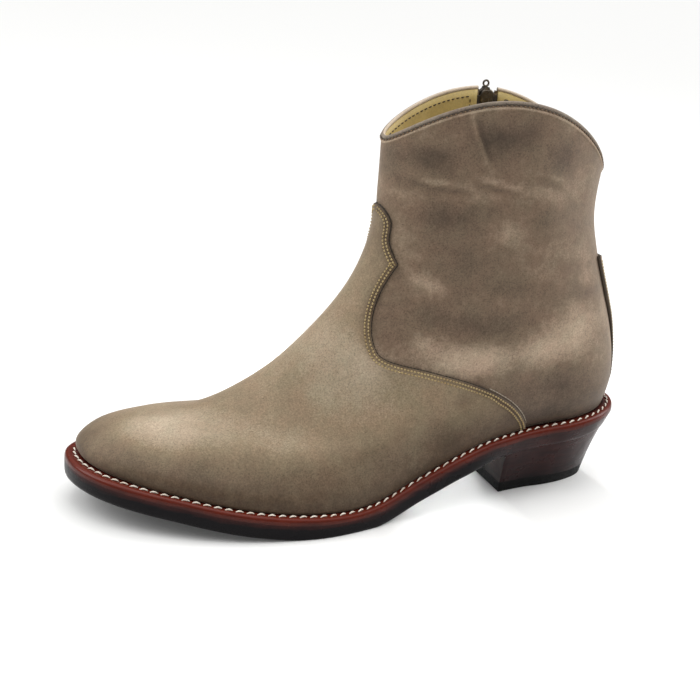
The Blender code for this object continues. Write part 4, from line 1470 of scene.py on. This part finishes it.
def heel_ring(share, inset, height):
    """Ring of the heel at a share of its height: 0 on the floor, 1 under the sole."""
    outline = feather_outline(WELT_MARGIN - HEEL_INSET - HEEL_SOLE_TUCK - inset)
    along = stations(outline)
    behind = np.flatnonzero(along > HEEL_BREAST + BREAST_CLEAR)
    order = np.roll(behind, np.count_nonzero(behind > SOLE_POINTS // 2))
    top_x = along[order]
    top_y = outline[order, 1]
    top_length = along.max() - HEEL_BREAST
    foot_x = HEEL_BREAST_FOOT + (top_x - HEEL_BREAST) * (HEEL_BACK_FOOT - HEEL_BREAST_FOOT) / top_length
    back_share = (top_x - HEEL_BREAST) / top_length
    width_share = HEEL_FOOT_FRONT_SHARE + (HEEL_FOOT_BACK_SHARE - HEEL_FOOT_FRONT_SHARE) * back_share
    foot_y = AXIS_SHIFT + (top_y - AXIS_SHIFT) * width_share
    pinch = 1.0 - HEEL_PINCH * 4 * share * (1 - share)
    breast = HEEL_BREAST_FOOT + (HEEL_BREAST - HEEL_BREAST_FOOT) * share
    x = breast + (foot_x + (top_x - foot_x) * share - breast) * pinch
    y = AXIS_SHIFT + (foot_y + (top_y - foot_y) * share - AXIS_SHIFT) * pinch
    x = np.concatenate([[breast + inset], x, [breast + inset]])
    y = np.concatenate([y[:1], y, y[-1:]])
    return np.column_stack([x - SOLE_LENGTH / 2, y, height(x)])


def heel_block(name, rings):
    """Closed block through rings that start and end on the breast."""
    count = len(rings[0])
    faces = grid_faces(len(rings), count, True)
    for start in (0, (len(rings) - 1) * count):
        for i in range(count // 2 - 1):
            faces.append([start + i, start + i + 1, start + count - 2 - i, start + count - 1 - i])
    mesh = mesh_from(name, np.concatenate(rings), faces)
    fix_normals(mesh)
    return mesh


def heel_lifts():
    """Stacked heel, burnished to one surface."""

    def height(step):
        return lambda x: TOP_LIFT_DEPTH + (welt_height(x) - SOLE_DEPTH + HEEL_TUCK - TOP_LIFT_DEPTH) * step

    steps = np.linspace(0.0, 1.0, HEEL_STEPS)
    rings = [heel_ring(LIFT_SHARE + (1 - LIFT_SHARE) * step, 0.0, height(step)) for step in steps]
    mesh = heel_block("heel_lifts", rings)
    store_value(mesh, "darken", np.repeat(HEEL_DARK + HEEL_FOOT_DARK * (1 - steps) ** 2, len(rings[0])))
    finish = heel_material()
    add_piece("heel_lifts", mesh, finish, stands_for=("heel_stack",), sharp=SHARP_BLOCK)


def heel_cap():
    """Black top lift, rounded where it meets the floor."""
    rings = []
    section = ((0.0, CAP_ROUND, 0.0), (CAP_ROUND_SHARE, 0.0, CAP_ROUND), (LIFT_SHARE, 0.0, TOP_LIFT_DEPTH))
    for share, inset, z in section:
        rings.append(heel_ring(share, inset, lambda x: np.full_like(x, z)))
    mesh = heel_block("heel_top_lift", rings)
    finish = top_lift_material()
    add_piece("heel_cap", mesh, finish, stands_for=("heel_top_lift",), sharp=SHARP_BLOCK)


def insole():
    rings = [
        sole_ring(-INSOLE_INSET, 0.0),
        sole_ring(-INSOLE_INSET, INSOLE_ROUND_DROP - INSOLE_DEPTH),
        sole_ring(-INSOLE_INSET - INSOLE_ROUND_INSET, -INSOLE_DEPTH),
    ]
    mesh = ring_stack("insole", rings, True)
    finish = sock_material()
    add_piece("sock_insole", mesh, finish, stands_for=("insole",), sharp=SHARP_SOLE)


# Seams


def seam(turn, level, height, row, facing=1.0):
    """Stitches along a path of the form, at a height off it; facing is -1 on the inside."""
    return stitch_mesh("seam", on_form(turn, level, height), facing * form_normal(turn, level), row)


def add_seams(name, meshes, finish):
    add_piece(name, join_meshes(name, meshes), finish)


def vamp_stitches():
    """Two ochre rows inside the vamp's edge, with their needle punctures, and a dark line painted as the
    shadow under the edge.
    """
    threads = []
    holes_and_shadow = []
    for side, inward in zip(VAMP_SIDES, (-1.0, 1.0)):
        for distance in VAMP_ROWS:
            turn, level = shift_path(*side.T, inward * distance)
            own_half = (turn - 1) * inward > FRONT_CLEAR
            turn, level = turn[own_half], level[own_half]
            height = skived_height(distance)
            threads.append(seam(turn, level, height, VAMP_THREAD))
            holes_and_shadow.append(seam(turn, level, height - HOLE_DEPTH, VAMP_HOLE))
        # Dark line along the edge itself: painted shadow under the vamp's edge
        holes_and_shadow.append(seam(*side.T, GAP, VAMP_EDGE_SHADOW))
    add_seams("vamp_stitches", threads, ochre_thread_material())
    add_seams("vamp_hole_rows_and_edge_shadow", holes_and_shadow, hole_and_shadow_material())


def quarter_line():
    """Thin light line on the outer quarter along the foot of the vamp's edge."""
    turn, level = shift_path(*VAMP_SIDES[0].T, LINE_OUTSIDE_VAMP)
    place = form(turn, level)
    shown = (stations(place) > LINE_START_X) & (place[:, 2] > LINE_FOOT_Z)
    mesh = seam(turn[shown], level[shown], LINE_LIFT, PALE_LINE)
    add_piece("quarter_line", mesh, pale_line_material())


def rim_path(beside, below):
    """Path under the rim of the collar, a distance below it."""
    turns = rim_turns(beside)
    return turns, 1 - below / rim_climb(turns)


def rim_row(row):
    return seam(*rim_path(row.beside, row.below), row.height, row.thread)


def collar_stitches():
    """Dark seam under the bead, darkened as painted shadow of the groove, with rust thread showing in it."""
    add_piece("rim_shadow_seam", rim_row(RIM_SHADOW_SEAM), dark_thread_and_shadow_material())
    add_piece("collar_stitches", rim_row(RUST_ROW), rust_thread_material())


def beside_zip(beside, low, high, count):
    """Path on the inner side that runs beside the zip between two heights."""
    z = np.linspace(low, high, count)
    return turn_and_level(zip_line_x(z) + beside, z, True)


def lining_stitches():
    inside = LINING_FACE - LINING_DEPTH
    beside = LINING_SLOT_WIDTH / 2 + LINING_BESIDE
    top = COLLAR_AT_ZIP - LINING_BELOW - LINING_TOP_GAP
    paths = [rim_path(beside - ZIP_SLOT_WIDTH / 2, LINING_BELOW)]
    for side in (-1.0, 1.0):
        paths.append(beside_zip(side * beside, ZIP_FOOT_Z, top, LINING_ROW_POINTS))
    meshes = [seam(*path, inside, LINING_THREAD, -1.0) for path in paths]
    add_seams("lining_stitches", meshes, dark_thread_and_shadow_material())


def zip_stitches():
    meshes = []
    low = ZIP_FOOT_Z - ZIP_ROW_BELOW
    high = COLLAR_AT_ZIP - ZIP_ROW_TOP_GAP
    for side in (-1.0, 1.0):
        for distance in ZIP_ROWS:
            path = beside_zip(side * (ZIP_SLOT_WIDTH / 2 + distance), low, high, ZIP_ROW_POINTS)
            meshes.append(seam(*path, 0.0, ZIP_THREAD))
    add_seams("zip_stitches", meshes, ochre_thread_material())


def backstay_stitches():
    levels = np.linspace(STAY_ROW_FOOT, STAY_TOP * STAY_ROW_TOP, STAY_ROW_POINTS)
    edge = stay_edge(levels)
    by_turn = np.linalg.norm(form_steps(edge, levels)[0], axis=1)
    meshes = []
    for side in (-1.0, 1.0):
        for inset in VAMP_ROWS:
            turns = side * (edge - inset / by_turn)
            meshes.append(seam(turns, levels, GAP + stay_depth(levels), STAY_THREAD))
    add_seams("backstay_stitches", meshes, ochre_thread_material())


# Zip


def zip_tape():
    zs = np.linspace(ZIP_FOOT_Z - ZIP_TAPE_BELOW, COLLAR_AT_ZIP - ZIP_END_GAP, TAPE_ROWS)
    across = np.linspace(-ZIP_TAPE_WIDTH / 2, ZIP_TAPE_WIDTH / 2, TAPE_COLUMNS)
    z, beside = np.meshgrid(zs, across, indexing="ij")
    path = turn_and_level(zip_line_x(z) + beside, np.minimum(z, COLLAR_AT_ZIP - TAPE_RIM_GAP), True)
    mesh = sheet("zip_tape", on_form(*path, TAPE_FACE), False, (0.0, 1.0, 0.0))
    piece = add_piece("zip_tape_cloth", mesh, tape_material(), stands_for=("zip_tape",))
    thicken(piece, TAPE_DEPTH)


def tooth_block():
    """One tooth: a small rounded block across the chain, in its own axes."""
    made = bmesh.new()
    bmesh.ops.create_cube(made, size=1.0, matrix=Matrix.Diagonal((*TOOTH_SIZE, 1.0)))
    bmesh.ops.bevel(made, geom=made.edges[:], offset=TOOTH_ROUND, segments=2, affect="EDGES", profile=0.6)
    made.verts.index_update()
    points = np.array([v.co for v in made.verts])
    faces = [[v.index for v in face.verts] for face in made.faces]
    made.free()
    return points, faces


def zip_chain():
    points, faces = tooth_block()
    zs = np.arange(ZIP_FOOT_Z + CHAIN_FOOT_GAP, COLLAR_AT_ZIP - CHAIN_TOP_GAP, ZIP_PITCH / 2)
    turn, level = turn_and_level(zip_line_x(zs), zs, True)
    centre = on_form(turn, level, CHAIN_FACE)
    out = form_normal(turn, level)
    up = unit(np.gradient(centre, axis=0))
    side = np.cross(up, out)
    shift = np.where(np.arange(len(zs)) % 2, TOOTH_SHIFT, -TOOTH_SHIFT)[:, None]
    centre = centre + side * shift
    axes = np.stack([side, out, up], 1)
    blocks = centre[:, None, :] + np.einsum("pk,nkj->npj", points, axes)
    mesh = repeat_mesh("zip_chain", blocks, faces)
    finish = plating_material("zip_tooth_plating")
    add_piece("zip_chain", mesh, finish, stands_for=("zip_teeth",), sharp=SHARP_BLOCK)


def slider_axes():
    """Frame at the top of the zip: origin and the directions along the wall, out of it and up the zip."""
    z = COLLAR_AT_ZIP + SLIDER_ABOVE_COLLAR - SLIDER_LENGTH / 2
    heights = np.array([z, z - SLIDER_LENGTH])
    turn, level = turn_and_level(zip_line_x(heights), heights, True)
    here, below = form(turn, level)
    up = unit(here - below)
    out = form_normal(turn, level)[0]
    out = unit(out - up * (out @ up))
    return here, np.array([np.cross(out, up), out, up])


def plate(outline, layers, axes=(0, 2, 1)):
    """Points and faces of a plate: an outline in two axes, lofted along the third.

    Layers are rows of height and inset.
    """
    tangent = np.roll(outline, -1, axis=0) - np.roll(outline, 1, axis=0)
    inward = unit(np.stack([-tangent[:, 1], tangent[:, 0]], -1))
    if ((outline.mean(axis=0) - outline) * inward).sum() < 0:
        inward = -inward
    points = np.zeros((len(layers), len(outline), 3))
    for row, (height, inset) in zip(points, layers):
        row[:, axes[:2]] = outline + inset * inward
        row[:, axes[2]] = height
    return points.reshape(-1, 3), tube_faces(len(layers), len(outline))


def rounded(low, high, low_round, high_round):
    """Layers of a plate from low to high with rounded edges."""
    return ((low, low_round), (low + low_round, 0.0), (high - high_round, 0.0), (high, high_round))


def shield(rows):
    """Outline of a plate that is the same on its left and right: rows of height and half width."""
    up, half = curve_through(rows, SHIELD_STEPS).T
    half = np.maximum(half, NARROWEST)
    return np.column_stack([np.concatenate([half, -half[::-1]]), np.concatenate([up, up[::-1]])])


def round_outline(centre, radius):
    angles = round_angles(ROUND_SIDES)
    return np.column_stack([centre[0] + radius * np.cos(angles), centre[1] + radius * np.sin(angles)])


def crown_ring():
    """Round wire loop on top of the slider."""
    turn = round_angles(CROWN_SIDES)[:, None]
    wire = round_angles(WIRE_SIDES)[None, :]
    reach = CROWN_RADIUS + CROWN_WIRE * np.cos(wire)
    points = np.stack([reach * np.cos(turn), CROWN_WIRE * np.sin(wire) + 0 * turn, reach * np.sin(turn)], -1)
    return points.reshape(-1, 3) + CROWN_CENTRE, hoop_faces(CROWN_SIDES, WIRE_SIDES)


def zip_metal_piece(name, blocks, origin, body, node):
    """One piece of the slider's metal from blocks of points and faces in the slider's axes."""
    here, directions = SLIDER_FRAME
    meshes = []
    for points, faces in blocks:
        mesh = mesh_from(name, here + (np.asarray(origin) + points) @ directions, faces)
        fix_normals(mesh)
        meshes.append(mesh)
    finish = plating_material(name + "_plating")
    add_piece(name, join_meshes(name, meshes), finish, body, stands_for=(node,), sharp=SHARP_BLOCK)


def ear_outline():
    """Outline of the slider's ears: round about the pin, drawn out towards the front plate."""
    centre = PIN_OUT - EAR_SETBACK
    ear = round_outline((centre, PIN_UP), EAR_RADIUS)
    ear[:, 0] = np.where(ear[:, 0] < centre, (ear[:, 0] - centre) * EAR_STRETCH + centre, ear[:, 0])
    return ear


def zip_slider():
    """Slider: shaped front and rear plates joined by a post, a wire loop on top, ears and pin in front."""
    front = shield(FRONT_PLATE)
    rear = shield(REAR_PLATE)
    rear[:, 0] += CROWN_CENTRE[0] / 2
    post = shield(POST)
    post[:, 0] += CROWN_CENTRE[0]
    rear_layers = ((SLIDER_REAR_FACE, REAR_ROUND), (SLIDER_REAR_FACE + REAR_STEP, 0.0), (SLIDER_REAR, 0.0))
    half_pin = EAR_OUTSIDE + PIN_PROUD
    pin = round_outline((PIN_OUT, PIN_UP), PIN_RADIUS)
    blocks = [
        plate(front, rounded(SLIDER_BACK, SLIDER_FACE, *FRONT_ROUNDS)),
        plate(rear, rear_layers),
        plate(post, ((SLIDER_REAR_FACE + POST_BACK_INSET, 0.0), (SLIDER_FACE - POST_FRONT_INSET, 0.0))),
        plate(pin, ((-half_pin, PIN_ROUND), (half_pin, PIN_ROUND)), (1, 2, 0)),
        crown_ring(),
    ]
    for left, right in ((-EAR_OUTSIDE, -EAR_INSIDE), (EAR_INSIDE, EAR_OUTSIDE)):
        blocks.append(plate(ear_outline(), rounded(left, right, EAR_ROUND, EAR_ROUND), (1, 2, 0)))
    zip_metal_piece("slider_body", blocks, (0.0, 0.0, 0.0), BOOT, "zip_slider")


def pull_barrel():
    """Bored barrel of the pull tab, about the pin."""
    bore = PIN_RADIUS + GAP
    reach = BARREL_LENGTH / 2
    flat = BARREL_RADIUS - BARREL_ROUND
    half_wall = ((reach, bore), (reach, flat), (reach - BARREL_ROUND, BARREL_RADIUS))
    wall = [(-place, radius) for place, radius in half_wall] + list(half_wall[::-1])
    rings = [np.insert(round_outline((0.0, 0.0), radius), 0, place, axis=1) for place, radius in wall]
    return np.concatenate(rings), hoop_faces(len(rings), ROUND_SIDES)


def zip_pull():
    """Pull tab: a dished, waisted plate under a barrel that turns on the slider's pin."""
    half = TAB_DEPTH / 2
    layers = (
        (-half, TAB_ROUND),
        (-half + TAB_STEP, 0.0),
        (half - TAB_STEP, 0.0),
        (half, TAB_ROUND),
        (half, TAB_RIM),
        (half - TAB_DISH_DEPTH, TAB_DISH_INSET),
    )
    blocks = [plate(shield(TAB), layers), pull_barrel()]
    zip_metal_piece("pull_tab_plate", blocks, (0.0, PIN_OUT, PIN_UP), PULL, "zip_pull")


# Stage


def camera():
    yaw, pitch, roll = (math.radians(angle) for angle in (CAMERA_YAW, CAMERA_PITCH, CAMERA_ROLL))
    ahead = Vector((math.sin(yaw) * math.cos(pitch), math.cos(yaw) * math.cos(pitch), -math.sin(pitch)))
    level_right = Vector((math.cos(yaw), -math.sin(yaw), 0.0))
    level_up = level_right.cross(ahead)
    right = level_right * math.cos(roll) + level_up * math.sin(roll)
    up = level_up * math.cos(roll) - level_right * math.sin(roll)
    place = Vector(CAMERA_AIM) - ahead * CAMERA_DISTANCE + right * CAMERA_SHIFT[0] + up * CAMERA_SHIFT[1]
    data = bpy.data.cameras.new("camera")
    data.lens = CAMERA_LENS
    data.sensor_width = CAMERA_SENSOR
    data.clip_start = CAMERA_NEAR
    made = bpy.data.objects.new("camera", data)
    turned = Matrix((right, up, -ahead)).transposed().to_4x4()
    turned.translation = place * MM
    made.matrix_world = turned
    bpy.context.scene.collection.objects.link(made)
    bpy.context.scene.camera = made


def floor_material():
    made = bpy.data.materials.new("pale_floor")
    made.use_nodes = True
    shader = made.node_tree.nodes["Principled BSDF"]
    shader.inputs["Base Color"].default_value = FLOOR_COLOUR
    shader.inputs["Roughness"].default_value = FLOOR_ROUGHNESS
    shader.inputs["Emission Color"].default_value = FLOOR_GLOW_COLOUR
    shader.inputs["Emission Strength"].default_value = FLOOR_GLOW
    return made


def floor():
    mesh = bpy.data.meshes.new("floor")
    corners = [(FLOOR_HALF * x, FLOOR_HALF * y, 0) for x, y in ((-1, -1), (1, -1), (1, 1), (-1, 1))]
    mesh.from_pydata(corners, [], [(0, 1, 2, 3)])
    mesh.materials.append(floor_material())
    made = bpy.data.objects.new("floor", mesh)
    bpy.context.scene.collection.objects.link(made)


def add_light(light):
    data = bpy.data.lights.new(light.name, "AREA")
    data.shape = "RECTANGLE"
    data.size, data.size_y = light.size
    data.energy = light.power
    data.spread = math.radians(light.spread)
    made = bpy.data.objects.new(light.name, data)
    made.location = light.place
    made.rotation_euler = (Vector(light.aim) - Vector(light.place)).to_track_quat("-Z", "Y").to_euler()
    bpy.context.scene.collection.objects.link(made)


def sky_strength(tree):
    """Strength of the tent's light: dim at the horizon, bright overhead; its walls look white."""
    source = tree.nodes.new("ShaderNodeTexCoord")
    split = tree.nodes.new("ShaderNodeSeparateXYZ")
    tree.links.new(source.outputs["Generated"], split.inputs["Vector"])
    height = math_node(tree, "MAXIMUM", split.outputs["Z"], 0.0)
    overhead = math_node(tree, "POWER", height, SKY_FOCUS)
    lit = math_node(tree, "MULTIPLY_ADD", overhead, SKY_ZENITH, SKY_HORIZON)
    return math_node(tree, "MAXIMUM", lit, tree.nodes.new("ShaderNodeLightPath").outputs["Is Camera Ray"])


def light_tent():
    world = bpy.data.worlds.new("light_tent")
    world.use_nodes = True
    background = world.node_tree.nodes["Background"]
    background.inputs["Color"].default_value = (1.0, 1.0, 1.0, 1.0)
    world.node_tree.links.new(sky_strength(world.node_tree), background.inputs["Strength"])
    bpy.context.scene.world = world
    for light in SOFT_LIGHTS:
        add_light(light)
    bpy.context.scene.view_settings.view_transform = "Standard"


CUT_EDGE = cut_edge_material()
VAMP_SIDES = vamp_edge()
STAY_TOP = backstay_top()
SLIDER_FRAME = slider_axes()
LIFT_SHARE = TOP_LIFT_DEPTH / (welt_height(HEEL_BACK_FOOT) - SOLE_DEPTH)
shaft_and_quarters()
lining()
vamp()
backstay()
piping()
welt()
welt_stitches()
outsole()
heel_lifts()
heel_cap()
insole()
vamp_stitches()
quarter_line()
collar_stitches()
lining_stitches()
zip_stitches()
backstay_stitches()
zip_tape()
zip_chain()
zip_slider()
zip_pull()
camera()
floor()
light_tent()
